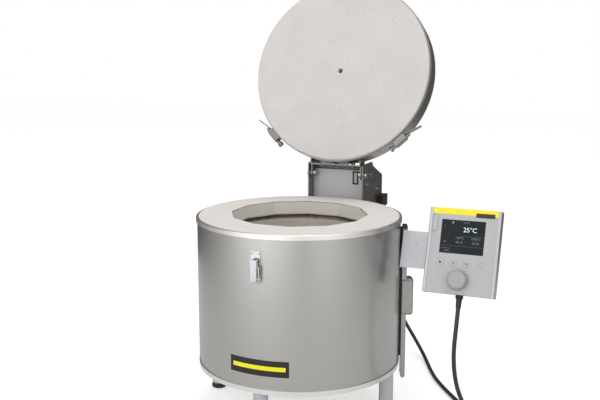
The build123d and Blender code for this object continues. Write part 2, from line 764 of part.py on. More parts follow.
def hinge_pins():
    pins = []
    nut_x = EAR_INNER_X - 4.5
    for side in (-1, 1):
        pin = rod_x(PIN_R, side * nut_x, side * plate_outer_x, HINGE_Y, hinge_z)
        pin += rod_x(PIN_HEAD_R, side * plate_outer_x, side * (plate_outer_x + PIN_HEAD), HINGE_Y, hinge_z)
        pin += rod_x(PIN_HEAD_R - 1, side * (nut_x - 1), side * (EAR_INNER_X - FIT), HINGE_Y, hinge_z)
        pins.append(pin)
    return group(pins)


def hinge_washers():
    washers = []
    for side in (-1, 1):
        x0 = side * (ear_outer_x + FIT / 2)
        x1 = side * PLATE_INNER_X
        washer = rod_x(PIN_HEAD_R, x0, x1, HINGE_Y, hinge_z) - rod_x(PIN_R, x0 - side, x1 + side, HINGE_Y, hinge_z)
        washers.append(washer)
    return group(washers)


def stop_place():
    """Where the stop bar's centre lies: just behind the bracket's top edge when the lid is open."""
    turn = radians(LID_OPEN_ANGLE)
    edge_y = web_y0 + EAR_SHEET / 2 - HINGE_Y
    edge_z = web_z1 - hinge_z + FIT + STOP_R
    y = HINGE_Y + edge_y * cos(turn) + edge_z * sin(turn)
    z = hinge_z - edge_y * sin(turn) + edge_z * cos(turn)
    return y, z


def lid_stop():
    y, z = stop_place()
    return rod_x(STOP_R, -PLATE_INNER_X, PLATE_INNER_X, y, z)


def switch_housing():
    half = PLATE_INNER_X - FIT
    sheet = HOUSING_SHEET
    front = JACKET_R - 20
    shell = block(-half, half, front, HOUSING_BACK_Y, HOUSING_BOTTOM_Z, SHELF_Z + sheet)
    shell -= block(-half + sheet, half - sheet, front - 1, HOUSING_BACK_Y + 1, HOUSING_BOTTOM_Z + sheet, SHELF_Z)
    shell -= block(-half - 1, half + 1, PANEL_Y + sheet, HOUSING_BACK_Y + 1, SHELF_Z - 1, SHELF_Z + sheet + 1)
    shell -= drum(JACKET_R + FIT, HOUSING_BOTTOM_Z - 1, SHELF_Z + sheet + 1)
    return shell


def housing_front_panel():
    half = PLATE_INNER_X - FIT
    panel = block(-half, half, PANEL_Y, PANEL_Y + HOUSING_SHEET, SHELF_Z + HOUSING_SHEET, cover_top_z - HOUSING_SHEET)
    width, height = LABEL_SLOT
    panel -= block(
        LABEL_X - width / 2, LABEL_X + width / 2, PANEL_Y - 1, PANEL_Y + LABEL_RECESS, LABEL_Z - height / 2, LABEL_Z + height / 2,
    )
    return panel


def housing_top_cover():
    half = PLATE_INNER_X - FIT
    sheet = HOUSING_SHEET
    outline = [
        (PANEL_Y, cover_top_z), (COVER_BREAK_Y, cover_top_z), (HOUSING_BACK_Y, cover_back_z),
        (HOUSING_BACK_Y, cover_back_z - sheet * 1.1), (COVER_BREAK_Y - 0.4, cover_top_z - sheet),
        (PANEL_Y, cover_top_z - sheet),
    ]
    return slab_yz(outline, -half, half)


def housing_back_cover():
    half = PLATE_INNER_X - FIT
    sheet = HOUSING_SHEET
    cover = block(-half, half, HOUSING_BACK_Y, HOUSING_BACK_Y + sheet, HOUSING_BOTTOM_Z, cover_back_z)
    width, height = LOUVRE
    for i in range(LOUVRES):
        z = LOUVRE_BOTTOM_Z + i * LOUVRE_PITCH
        cover -= block(-width / 2, width / 2, HOUSING_BACK_Y - 1, HOUSING_BACK_Y + sheet + 1, z, z + height)
    cover -= rod_y(MAINS_BORE_R + 4, HOUSING_BACK_Y - 1, HOUSING_BACK_Y + sheet + 1, MAINS_X, MAINS_Z)
    for hood in louvre_hoods():
        cover += hood
    return cover


def louvre_hoods():
    width, height = LOUVRE
    back = HOUSING_BACK_Y + HOUSING_SHEET
    hoods = []
    for i in range(LOUVRES):
        z = LOUVRE_BOTTOM_Z + i * LOUVRE_PITCH
        outline = [(back, z + height), (back + 4.5, z + 0.6), (back + 4.5, z + 1.6), (back + 0.6, z + height + 1.4), (back, z + height + 1.4)]
        hoods.append(slab_yz(outline, -width / 2, width / 2))
    return hoods


def mains_gland():
    start = HOUSING_BACK_Y - 8
    back = HOUSING_BACK_Y + HOUSING_SHEET
    gland = rod_y(MAINS_BORE_R + 4 - FIT, start, back + 1, MAINS_X, MAINS_Z)
    gland += rod_y(MAINS_NUT_R, start - 4, HOUSING_BACK_Y, MAINS_X, MAINS_Z)
    nut = extrude(Plane(origin=(MAINS_X, back, MAINS_Z), x_dir=(1, 0, 0), z_dir=(0, 1, 0)) * RegularPolygon(MAINS_NUT_R, 6), 9)
    dome = Pos(MAINS_X, back + 9 + 6, MAINS_Z) * Rot(-90, 0, 0) * Cone(MAINS_NUT_R - 1.5, MAINS_BORE_R + 3, 12)
    gland += nut
    gland += dome
    return gland - rod_y(MAINS_BORE_R, start - 6, back + MAINS_LENGTH, MAINS_X, MAINS_Z)


def cable_connector():
    width, depth, height = CONNECTOR
    x0 = plate_outer_x
    body = block(x0, x0 + width, CONNECTOR_Y - depth / 2, CONNECTOR_Y + depth / 2, CONNECTOR_Z, CONNECTOR_Z + height)
    body = fillet(longest_edges(body, Axis.Z, height), 2.0)
    return body


def connector_gland():
    x = plate_outer_x + CONNECTOR[0] / 2
    nut = drum(GLAND_R - 2.2, CONNECTOR_Z - GLAND_NUT, CONNECTOR_Z, x, CONNECTOR_Y)
    taper = GLAND_LENGTH - GLAND_NUT
    sleeve = Pos(x, CONNECTOR_Y, CONNECTOR_Z - GLAND_NUT - taper / 2) * Cone(CABLE_R + 0.8, GLAND_TIP_R, taper)
    return nut + sleeve


def relay():
    width, depth, height = RELAY
    y1 = HOUSING_BACK_Y
    body = block(-width / 2, width / 2, y1 - 4, y1, RELAY_Z - height / 2 - 6, RELAY_Z + height / 2 + 6)
    return body + block(-width / 2 + 4, width / 2 - 4, y1 - depth, y1 - 4, RELAY_Z - height / 2, RELAY_Z + height / 2)


def terminal_block():
    width, depth, height = TERMINAL_BLOCK
    z0 = HOUSING_BOTTOM_Z + HOUSING_SHEET
    y0 = JACKET_R + 50
    strip = block(-width / 2, width / 2, y0, y0 + depth, z0, z0 + height)
    pitch = width / TERMINAL_WAYS
    for i in range(TERMINAL_WAYS):
        x = -width / 2 + (i + 0.5) * pitch
        strip -= drum(3.0, z0 + height - 8, z0 + height + 1, x, y0 + depth / 2)
    return strip


# Controller holder
def rail_strip():
    half = STRIP_WIDTH / 2
    strip = block(JACKET_R - 3, rail_r0, -half, half, STRIP_BOTTOM_Z, RAIL_TOP_Z)
    strip -= drum(JACKET_R, STRIP_BOTTOM_Z - 1, RAIL_TOP_Z + 1)
    return around(strip, RAIL_ANGLE)


def controller_rail():
    half = RAIL_WIDTH / 2
    rail = block(rail_r0, rail_r1, -half, half, RAIL_BOTTOM_Z, RAIL_TOP_Z)
    rail = fillet(rail.edges().filter_by(Axis.Y).group_by(Axis.Z)[0], RAIL_END_R)
    width, depth = RAIL_GROOVE
    rail -= block(rail_r1 - depth, rail_r1 + 1, -width / 2, width / 2, RAIL_BOTTOM_Z - 1, RAIL_TOP_Z + 1)
    return around(rail, RAIL_ANGLE)


def rail_cap():
    half = RAIL_WIDTH / 2
    return around(block(rail_r0, rail_r1, -half, half, RAIL_TOP_Z, RAIL_TOP_Z + RAIL_CAP_HEIGHT), RAIL_ANGLE)


def rail_screws():
    floor_r = rail_r1 - RAIL_GROOVE[1]
    screws = []
    for z in (STRIP_BOTTOM_Z + RAIL_SCREW_INSET, RAIL_TOP_Z - RAIL_SCREW_INSET * 0.5):
        screws.append(around(rod_x(RAIL_SCREW_R, floor_r, floor_r + RAIL_SCREW_HEAD, 0, z), RAIL_ANGLE))
    return group(screws)


def rail_clamp():
    z0 = CLAMP_BLOCK_BOTTOM_Z
    z1 = z0 + CLAMP_BLOCK_HEIGHT
    half = RAIL_WIDTH / 2 + FIT + CLAMP_BLOCK_WALL
    body = block(rail_r0 + 1, rail_r1 + CLAMP_BLOCK_PROUD, -half, half, z0, z1)
    body = fillet(body.edges().filter_by(Axis.Z).group_by(Axis.X)[-1], CLAMP_BLOCK_EDGE_R)
    body = chamfer(body.edges().group_by(Axis.X)[-1].filter_by(Axis.Y), CLAMP_BLOCK_EDGE_R * 0.9)
    room = RAIL_WIDTH / 2 + FIT
    body -= block(rail_r0 - 1, rail_r1 + FIT, -room, room, z0 - 1, z1 + 1)
    return around(body, RAIL_ANGLE)


def rail_stud():
    z = CLAMP_BLOCK_BOTTOM_Z + CLAMP_BLOCK_HEIGHT / 2
    floor_r = rail_r1 - RAIL_GROOVE[1]
    return around(rod_x(RAIL_SCREW_R, floor_r, rail_r1 + FIT, 0, z), RAIL_ANGLE)


def holder_plate():
    z1 = -CASE_DEPTH
    plate = block(HOLDER_LEFT, HOLDER_RIGHT, HOLDER_BOTTOM, HOLDER_TOP, holder_z, z1)
    plate += block(HOLDER_LEFT, HOLDER_LEFT + HOLDER_SHEET, HOLDER_BOTTOM, HOLDER_TOP, holder_z - HOLDER_RETURN, z1)
    return on_face(plate)


def holder_bracket():
    z0 = BRACKET_BOTTOM_Z
    z1 = z0 + BRACKET_HEIGHT
    arm = block(rail_r1, rail_r1 + BRACKET_SHEET, -RAIL_WIDTH / 2 - BRACKET_REACH, RAIL_WIDTH / 2, z0, z1)
    arm = around(arm, RAIL_ANGLE)
    arm -= on_face(block(-300, 300, -300, 300, holder_z, holder_z + 300))
    tab = block(-121, -121 + BRACKET_TAB, HOLDER_BOTTOM + 12, HOLDER_TOP - 12, holder_z - BRACKET_SHEET, holder_z)
    return arm + on_face(tab)


def holder_screws():
    screws = []
    for y in (HOLDER_BOTTOM + 22, HOLDER_TOP - 22):
        screws.append(on_face(drum(HOLDER_SCREW_R, -CASE_DEPTH, -CASE_DEPTH + HOLDER_SCREW_HEAD, -108, y)))
    for z in (BRACKET_BOTTOM_Z + 12, BRACKET_BOTTOM_Z + BRACKET_HEIGHT - 12):
        r1 = rail_r1 + BRACKET_SHEET
        screws.append(around(rod_x(HOLDER_SCREW_R, r1, r1 + HOLDER_SCREW_HEAD, 0, z), RAIL_ANGLE))
    return group(screws)


# Controller
def controller_case():
    half = face_half
    shell = block(-half, half, -half_height + 1, half_height - 1, -CASE_DEPTH, -FASCIA_THICK)
    shell = fillet(shell.edges().group_by(Axis.Z)[0].filter_by(Axis.X), CASE_CORNER_R)
    shell -= block(
        -half + CASE_WALL, half - CASE_WALL, -half_height + 1 + CASE_WALL, half_height - 1 - CASE_WALL,
        -CASE_DEPTH + CASE_WALL, -FASCIA_THICK + 1,
    )
    for sx in (-1, 1):
        for sy in (-1, 1):
            x = sx * (half - BOSS_INSET)
            y = sy * (half_height - BOSS_INSET)
            shell += drum(BOSS_R, -CASE_DEPTH + CASE_WALL, -BOARD_BACK - BOARD_THICK, x, y)
    shell -= Pos(0, -half_height, CASE_GLAND_Z) * Rot(90, 0, 0) * Cylinder(CABLE_R + 1, 12)
    return on_face(shell)


def controller_side_rails():
    rails = []
    for side in (-1, 1):
        x0 = side * (face_half + TOUCH)
        x1 = side * CASE_WIDTH / 2
        rail = block(x0, x1, -half_height, half_height, -SIDE_RAIL_DEPTH, SIDE_RAIL_PROUD)
        outer = [edge for edge in rail.edges().filter_by(Axis.Y) if abs(edge.center().X) > face_half + 1]
        rail = fillet(outer, 2.2)
        rails.append(on_face(rail))
    return group(rails)


def controller_fascia():
    plate = block(-face_half, face_half, -half_height, half_height, -FASCIA_THICK, 0)
    sx, sy = SCREEN_AT
    width, height = SCREEN_SIZE
    plate -= block(sx - width / 2, sx + width / 2, sy - height / 2, sy + height / 2, -SCREEN_RECESS, 1)
    for x in KEY_XS:
        plate -= drum(KEY_R + KEY_GAP, -FASCIA_THICK - 1, 1, x, KEY_Y)
    dx, dy = DIAL_AT
    plate -= drum(SPINDLE_R + 0.8, -FASCIA_THICK - 1, 1, dx, dy)
    fx, fy = FLAP_AT
    port_w, port_h = USB_PORT
    plate -= block(fx - port_w / 2, fx + port_w / 2, fy - port_h / 2, fy + port_h / 2, -FASCIA_THICK - 1, 1)
    hinge_x = fx - FLAP_SIZE[0] / 2 + FLAP_HINGE_R
    for side in (-1, 1):
        y0 = fy + side * (FLAP_SIZE[1] / 2 + 0.2)
        lug = block(hinge_x - FLAP_HINGE_R, hinge_x + FLAP_HINGE_R, y0, y0 + side * 1.6, -1, FLAP_LIFT + 2 * FLAP_HINGE_R)
        lug -= Pos(hinge_x, y0, FLAP_LIFT + FLAP_HINGE_R) * Rot(90, 0, 0) * Cylinder(FLAP_PIN_R, 8)
        plate += lug
    return on_face(plate)


def screen_glass():
    sx, sy = SCREEN_AT
    width, height = SCREEN_SIZE
    glass = block(
        sx - width / 2 + FIT, sx + width / 2 - FIT, sy - height / 2 + FIT, sy + height / 2 - FIT,
        -SCREEN_RECESS, SCREEN_PROUD,
    )
    return on_face(glass)


def display_module():
    sx, sy = SCREEN_AT
    width, height = SCREEN_SIZE
    module = block(sx - width / 2 - 2, sx + width / 2 + 2, sy - height / 2 - 1, sy + height / 2 + 1, -FASCIA_THICK - 6, -FASCIA_THICK)
    return on_face(module)


def key_cap(index):
    x = KEY_XS[index]
    cap = drum(KEY_R, -FASCIA_THICK, KEY_PROUD, x, KEY_Y)
    cap = fillet(cap.edges().group_by(Axis.Z)[-1], 0.5)
    cap += drum(KEY_R + 1.2, -FASCIA_THICK - FIT - KEY_FLANGE, -FASCIA_THICK - FIT, x, KEY_Y)
    cap += drum(KEY_R - 1, -FASCIA_THICK - FIT, -FASCIA_THICK, x, KEY_Y)
    return on_face(cap)


def keypad_mat():
    x0 = KEY_XS[0] - KEY_R - MAT_MARGIN
    x1 = KEY_XS[-1] + KEY_R + MAT_MARGIN
    top = -FASCIA_THICK - FIT - KEY_FLANGE - KEY_TRAVEL - 0.1
    half = KEY_R + MAT_MARGIN
    mat = block(x0, x1, KEY_Y - half + 2, KEY_Y + half - 2, top - MAT_THICK, top)
    for x in (x0, x1 - 2):
        mat += block(x, x + 2, KEY_Y - half + 2, KEY_Y + half - 2, top - MAT_THICK, -FASCIA_THICK)
    return on_face(mat)


def dial_encoder():
    dx, dy = DIAL_AT
    width, height, depth = ENCODER
    z1 = -FASCIA_THICK
    body = block(dx - width / 2, dx + width / 2, dy - height / 2, dy + height / 2, z1 - depth, z1)
    body -= drum(SPINDLE_R + RUNNING, z1 - depth + 2, 1, dx, dy)
    return on_face(body)


def dial_spindle():
    dx, dy = DIAL_AT
    z0 = -FASCIA_THICK - ENCODER[2] + 2.1
    return on_face(drum(SPINDLE_R, z0, z0 + SPINDLE_LENGTH, dx, dy))


def dial_knob():
    dx, dy = DIAL_AT
    z0 = DIAL_GAP
    z1 = z0 + DIAL_HEIGHT
    knob = Pos(dx, dy, (z0 + z1) / 2) * Cone(DIAL_R, DIAL_R - 1.6, DIAL_HEIGHT)
    knob = fillet(knob.edges().group_by(Axis.Z)[-1], 1.8)
    room = -FASCIA_THICK - ENCODER[2] + 2.1 + SPINDLE_LENGTH + 1.1
    knob -= drum(SPINDLE_R + RUNNING, z0 - 1, room, dx, dy)
    knob -= tube(DIAL_R - 3.0, SPINDLE_R + 3.0, z0 - 1, z0 + 6.0, dx, dy)
    return on_face(knob)


def usb_flap():
    fx, fy = FLAP_AT
    width, height = FLAP_SIZE
    z0 = FLAP_LIFT
    x0 = fx - width / 2
    hinge_x = x0 + FLAP_HINGE_R
    flap = block(hinge_x, fx + width / 2, fy - height / 2, fy + height / 2, z0, z0 + FLAP_THICK)
    flap = fillet([e for e in flap.edges().filter_by(Axis.Z) if e.center().X > fx], 3.0)
    flap += Pos(hinge_x, fy, z0 + FLAP_HINGE_R) * Rot(90, 0, 0) * Cylinder(FLAP_HINGE_R, height)
    flap -= Pos(hinge_x, fy, z0 + FLAP_HINGE_R) * Rot(90, 0, 0) * Cylinder(FLAP_PIN_R + RUNNING, height + 2)
    return on_face(flap)


def flap_pin():
    fx, fy = FLAP_AT
    width, height = FLAP_SIZE
    hinge_x = fx - width / 2 + FLAP_HINGE_R
    return on_face(Pos(hinge_x, fy, FLAP_LIFT + FLAP_HINGE_R) * Rot(90, 0, 0) * Cylinder(FLAP_PIN_R, height + 3.4))


def usb_socket():
    fx, fy = FLAP_AT
    port_w, port_h = USB_PORT
    z1 = -FASCIA_THICK
    socket = block(fx - port_w / 2 - 1, fx + port_w / 2 + 1, fy - port_h / 2 - 1, fy + port_h / 2 + 1, z1 - 12, z1)
    socket -= block(fx - port_w / 2, fx + port_w / 2, fy - port_h / 2, fy + port_h / 2, z1 - 10, z1 + 1)
    return on_face(socket)


def circuit_board():
    half = face_half - BOARD_MARGIN
    tall = half_height - 1 - BOARD_MARGIN
    return on_face(block(-half, half, -tall, tall, -BOARD_BACK - BOARD_THICK, -BOARD_BACK))


def controller_gland():
    y0 = -half_height
    body = Pos(0, y0 - 3, CASE_GLAND_Z) * Rot(90, 0, 0) * Cylinder(GLAND_R - 1, 8)
    taper = CASE_GLAND_LENGTH - 7
    sleeve = Pos(0, y0 - 7 - taper / 2, CASE_GLAND_Z) * Rot(90, 0, 0) * Cone(GLAND_TIP_R, CABLE_R + 0.8, taper)
    return on_face(body + sleeve)


# Controller cable
def cable_radii(route):
    radii = []
    points = [Vector(*p) for p in route]
    for before, here, after in zip(points, points[1:], points[2:]):
        run_in = here - before
        run_out = after - here
        turn = radians(run_in.get_angle(run_out))
        radii.append(0.45 * min(run_in.length, run_out.length) / tan(turn / 2))
    return radii


def controller_cable():
    radii = cable_radii(CABLE_ROUTE)
    path = FilletPolyline(*CABLE_ROUTE, radius=radii)
    cable = sweep(Plane(origin=path @ 0, z_dir=path % 0) * Circle(CABLE_R), path=path)
    expected = pi * CABLE_R ** 2 * path.length
    print("cable length", round(path.length, 1), "smallest radius", round(min(radii), 1))
    print("cable volume over section times length", round(cable.volume / expected, 5))
    return cable


def all_nodes():
    nodes = {
        "foot_pads": foot_pads(),
        "legs": legs(),
        "base_pan": base_pan(),
        "jacket": jacket(),
        "lip_trim": lip_trim(),
        "collar_brick": collar_brick(),
        "wall_bricks": wall_bricks(),
        "wall_insulation": wall_insulation(),
        "floor_insulation": floor_insulation(),
        "floor_brick": floor_brick(),
        "heating_element": heating_element(),
        "element_terminals": element_terminals(),
        "terminal_bushes": terminal_bushes(),
        "thermocouple": thermocouple(),
        "lid_brick": lid_brick(),
        "lid_band": lid_band(),
        "lid_cover": lid_cover(),
        "lid_strap": lid_strap(),
        "strap_clamps": strap_clamps(),
        "lid_bracket": lid_bracket(),
        "lid_handle": lid_handle(),
        "lid_keeper": lid_keeper(),
        "latch_base": group([latch_base(), latch_pin()]),
        "latch_lever": latch_lever(),
        "latch_bail": latch_bail(),
        "hinge_plates": hinge_plates(),
        "plate_bolts": plate_bolts(),
        "hinge_pins": group([hinge_pins(), hinge_washers()]),
        "lid_stop": lid_stop(),
        "switch_housing": switch_housing(),
        "housing_front_panel": housing_front_panel(),
        "housing_top_cover": housing_top_cover(),
        "housing_back_cover": housing_back_cover(),
        "mains_gland": mains_gland(),
        "cable_connector": cable_connector(),
        "connector_gland": connector_gland(),
        "solid_state_relay": relay(),
        "terminal_block": terminal_block(),
        "rail_strip": group([rail_strip(), rail_cap()]),
        "controller_rail": controller_rail(),
        "rail_screws": group([rail_screws(), rail_stud()]),
        "rail_clamp": rail_clamp(),
        "holder_plate": holder_plate(),
        "holder_bracket": group([holder_bracket(), holder_screws()]),
        "controller_case": controller_case(),
        "controller_side_rails": controller_side_rails(),
        "controller_fascia": controller_fascia(),
        "screen_glass": screen_glass(),
        "circuit_board": group([circuit_board(), display_module(), usb_socket(), keypad_mat(), flap_pin()]),
        "dial_encoder": dial_encoder(),
        "dial_spindle": dial_spindle(),
        "dial_knob": dial_knob(),
        "usb_flap": group([usb_flap()]),
        "controller_gland": controller_gland(),
        "controller_cable": controller_cable(),
    }
    for index, name in enumerate(KEY_NAMES):
        nodes[name] = key_cap(index)
    return nodes


os.makedirs("parts", exist_ok=True)
for name, shape in all_nodes().items():
    export_step(shape, f"parts/{name}.step")
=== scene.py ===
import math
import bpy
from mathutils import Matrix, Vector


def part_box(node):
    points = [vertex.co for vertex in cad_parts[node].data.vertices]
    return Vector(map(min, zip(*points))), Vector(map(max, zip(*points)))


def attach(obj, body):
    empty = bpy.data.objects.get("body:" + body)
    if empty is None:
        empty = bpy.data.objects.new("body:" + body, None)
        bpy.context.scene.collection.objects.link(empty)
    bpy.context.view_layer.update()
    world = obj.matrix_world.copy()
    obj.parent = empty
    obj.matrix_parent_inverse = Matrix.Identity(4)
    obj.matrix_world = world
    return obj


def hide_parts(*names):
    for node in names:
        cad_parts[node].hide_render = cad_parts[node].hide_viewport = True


bl_info = {
    "name": "Plug-in kiln",
    "version": (1, 0, 0),
    "blender": (4, 5, 0),
    "location": "View3D > Sidebar > Kiln",
    "description": "Dresses the packed kiln with its finishes and fine pieces, and sets up its studio",
    "category": "Object",
}

import bmesh
import bpy
from bpy.props import FloatProperty, FloatVectorProperty, PointerProperty
from mathutils import Matrix, Vector

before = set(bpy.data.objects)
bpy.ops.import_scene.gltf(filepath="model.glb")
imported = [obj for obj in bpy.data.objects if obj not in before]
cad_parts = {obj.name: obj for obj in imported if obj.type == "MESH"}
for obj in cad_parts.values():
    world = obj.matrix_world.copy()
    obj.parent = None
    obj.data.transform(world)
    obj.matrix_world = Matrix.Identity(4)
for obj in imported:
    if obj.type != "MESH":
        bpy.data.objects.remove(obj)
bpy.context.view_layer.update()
MM = 0.001

# Places in the row frame, in millimetres, as the part's source has them
FACETS = 12
HINGE = (0.0, 243.0, 487.0)
LID_OPEN_ANGLE = math.radians(106.0)
FACE_CENTRE = (361.0, -1.0, 379.0)
FACE_LEAN = math.radians(20.0)
GROOVE_HEIGHTS = [397.0 - 32.0 * i for i in range(6)]
ELEMENT_INRADIUS = 152.2
JACKET_R = 222.0
KEY_XS = {"key_run": -42.3, "key_menu": -14.9, "key_back": 11.8, "key_info": 39.4}
KEY_Y = -25.0
KEY_TOP = 0.8
DIAL = (-2.9, -59.0)
DIAL_TOP = 16.3
SCREEN_TOP = 0.2
CABLE_RADIUS = 4.5
CABLE_ROUTE = (
    (361.0, -19.66, 263.41), (361.0, -34.02, 223.94), (358.5, -38.0, 182.0), (359.5, -36.0, 140.0),
    (365.0, -30.0, 100.0), (374.0, -14.0, 62.0), (382.0, 14.0, 30.0), (380.0, 50.0, 10.0),
    (363.0, 84.0, 4.7), (339.0, 115.0, 4.6), (313.0, 150.0, 4.6), (286.0, 189.0, 4.6),
    (259.0, 232.0, 4.6), (236.0, 279.0, 4.6), (215.0, 328.0, 5.2), (192.0, 372.0, 12.0),
    (164.0, 398.0, 38.0), (137.0, 402.0, 76.0), (116.0, 397.0, 120.0), (99.0, 389.0, 166.0),
    (87.0, 381.0, 215.0), (80.0, 374.0, 266.0), (78.0, 370.0, 317.0), (78.0, 370.0, 366.0),
)

# The photograph's camera
CAMERA_PLACE = (706.55, -1697.39, 787.36)
CAMERA_AIM = (-0.37745, 0.90944, -0.17451)
CAMERA_LENS = 51.18
SENSOR_WIDTH = 36.0
CLIP_END = 100.0

# The studio: the floor, the softboxes, and the grey cards' brightness by azimuth
FLOOR_REACH = 9000.0
FLOOR_HEIGHTS = (-20.0, -0.5)
FLOOR_LIFT = 0.45
SOFTBOX_AIM = 300.0
# Name, azimuth, distance from the kiln's axis, height, width, tallness and share of the brightness
SOFTBOXES = (
    ("softbox_left", -108.0, 2900.0, 1500.0, 1500.0, 2300.0, 1.0),
    ("softbox_right", -38.0, 3100.0, 1500.0, 1100.0, 2300.0, 0.8),
    ("softbox_top", 60.0, 500.0, 3300.0, 2600.0, 2600.0, 0.7),
)
CARD_RADIUS = 1500.0
CARD_TOP = 2600.0
CARD_STEPS = 96
CARD_STRENGTH = 1.15
CARD_LEVELS = (
    (-170.2, 0.337), (-143.9, 0.687), (-121.8, 1.243), (-101.6, 1.49), (-82.6, 1.181),
    (-63.9, 0.713), (-45.2, 1.053), (-25.8, 0.863), (-5.0, 0.535), (18.3, 0.262),
    (47.4, 0.136), (151.1, 0.094), (173.3, 0.204), (180.0, 0.271),
)

LID_PLACE = (
    Matrix.Translation(Vector(HINGE) * MM)
    @ Matrix.Rotation(-LID_OPEN_ANGLE, 4, "X")
    @ Matrix.Translation(Vector(HINGE) * -MM)
)
FACE_PLACE = Matrix.Translation(Vector(FACE_CENTRE) * MM) @ Matrix.Rotation(math.pi / 2 - FACE_LEAN, 4, "X")
UPRIGHT = Matrix(((1, 0, 0, 0), (0, 0, -1, 0), (0, 1, 0, 0), (0, 0, 0, 1)))

# Small pieces that the scene adds. The front label is given as azimuths in degrees and heights, other plates as
# first and last place across and up, profiles as radius and height, and signs about the middle of their key.
LABEL_PLATE = (-106.4, -72.6, 138.5, 172.0)
LABEL_FIELD = (-104.6, -74.4, 151.0, 160.0)
LABEL_STEPS = 40
SMALL_LABEL = (34.4, 49.6, 460.4, 493.6)
SMALL_LABEL_RIM = 4.0
HEADER_BAND = (-67.3, 67.3, 75.6, 88.3)
HEADER_PLATE = (22.0, 60.5, 72.0, 81.0)
COVER_TOP = 493.4
EYELET_PROFILE = ((7.2, -0.4), (12.5, 0.05), (12.8, 0.9), (11.8, 1.3), (8.4, 1.5), (7.2, 1.0))
RIVET_SPOTS = ((-7.6, 342.5), (-7.6, 391.5), (7.6, 342.5), (7.6, 391.5))
RIVET_PROFILE = ((0.01, 223.4), (2.3, 223.4), (2.2, 224.1), (1.6, 224.7), (0.7, 225.0), (0.01, 225.05))
CAP_PROFILE = ((0.01, -0.3), (16.4, -0.3), (16.4, 0.35), (16.0, 0.6), (0.01, 0.75))
# Small readings: name, words, letter size, and place across and up
READINGS = (
    ("reading_set_1", "150°C", 6.5, -8.0, 27.0), ("reading_set_2", "1050°C", 6.5, 26.0, 27.0),
    ("reading_time_1", "00:15", 6.5, -8.0, 18.0), ("reading_time_2", "02:30", 6.5, 26.0, 18.0),
    ("reading_step", "01", 6.0, -37.0, 18.5), ("reading_clock", "12:00", 5.0, -33.0, 0.0),
    ("reading_date", "01.01", 5.5, 4.0, 59.0), ("reading_mode", "1", 6.5, -40.0, 50.0),
)
DISPLAY_RULES = (
    (-45.5, -24.0, 4.6, 5.1), (-45.5, 41.0, 10.2, 10.5), (-4.0, 40.0, 31.6, 31.9), (-26.0, -22.0, 56.5, 61.5),
)
MENU_BARS = tuple((-2.4, 2.4, y, y + 0.9) for y in (1.6, -0.45, -2.5))
INFO_STROKES = ((-0.55, 0.55, -2.9, 1.0), (-0.55, 0.55, 1.8, 2.9))
RUN_TRIANGLE = ((-2.3, -3.4), (3.5, 0.0), (-2.3, 3.4))
BACK_BEND = (
    (-0.6, 1.0), (3.2, 1.0), (3.2, -2.4), (-1.6, -2.4), (-1.6, -1.6), (2.4, -1.6), (2.4, 0.2), (-0.6, 0.2),
)
BACK_POINT = ((-3.4, 0.6), (-0.6, 2.6), (-0.6, -1.4))


def linear(hex_colour):
    """An sRGB hex colour as linear red, green and blue."""
    parts = [int(hex_colour[i:i + 2], 16) / 255.0 for i in (0, 2, 4)]
    return tuple(c / 12.92 if c <= 0.04045 else ((c + 0.055) / 1.055) ** 2.4 for c in parts)


def colour_property(name, description, hex_colour):
    """A colour that a user may change, with its default from an sRGB hex value."""
    return FloatVectorProperty(
        name=name, description=description, subtype="COLOR", size=3, min=0.0, max=1.0, default=linear(hex_colour)
    )


class KilnColours(bpy.types.PropertyGroup):
    stainless: colour_property("Stainless sheet", "Jacket, lip and lid band", "b4b2af")
    hinge_steel: colour_property("Hinge steel", "Side plates, lid bracket, lid stop and strap clamps", "8d8986")
    zinc: colour_property("Zinc plate", "Latch, keeper, pins, bolts and screws", "c9cacc")
    lid_board: colour_property("Lid board", "Pressed fibre of the lid and collar", "dcd7d2")
    brick: colour_property("Firebrick", "Insulating brick of the chamber", "cfc7bb")
    housing_paint: colour_property("Housing paint", "Switch housing", "c6c6c8")
    holder_paint: colour_property("Holder paint", "Plate that holds the controller", "e4e7ec")
    leg_paint: colour_property("Leg paint", "Leg tubes", "b9bcc0")
    case_plastic: colour_property("Controller plastic", "Controller case and face", "b9b9bb")
    band: colour_property("Header band", "Controller's top band and the front label's stripe", "fff000")
    cable: colour_property("Cable jacket", "Controller cable", "26262a")


class KilnSizes(bpy.types.PropertyGroup):
    coil_pitch: FloatProperty(
        name="Coil pitch", description="Distance between turns of the element", default=5.0 * MM, unit="LENGTH"
    )
    coil_radius: FloatProperty(
        name="Coil radius", description="Radius of the element's turns", default=2.9 * MM, unit="LENGTH"
    )
    wire_radius: FloatProperty(
        name="Wire radius", description="Radius of the element's wire", default=0.75 * MM, unit="LENGTH"
    )
    softbox_light: FloatProperty(
        name="Softbox brightness", description="How bright the left softbox looks; the others take a share",
        default=1.9, min=0.0,
    )
    sky_light: FloatProperty(
        name="Sky brightness", description="Even light from all round", default=0.62, min=0.0
    )


# Building helpers
def colours():
    return bpy.context.scene.kiln_colours


def sizes():
    return bpy.context.scene.kiln_sizes


def add(tree, kind, values=None, links=None, **settings):
    """Adds a shader node with its settings, its input values and its links."""
    node = tree.nodes.new(kind)
    for key, value in settings.items():
        setattr(node, key, value)
    for socket, value in (values or {}).items():
        node.inputs[socket].default_value = value
    for socket, source in (links or {}).items():
        tree.links.new(source, node.inputs[socket])
    return node


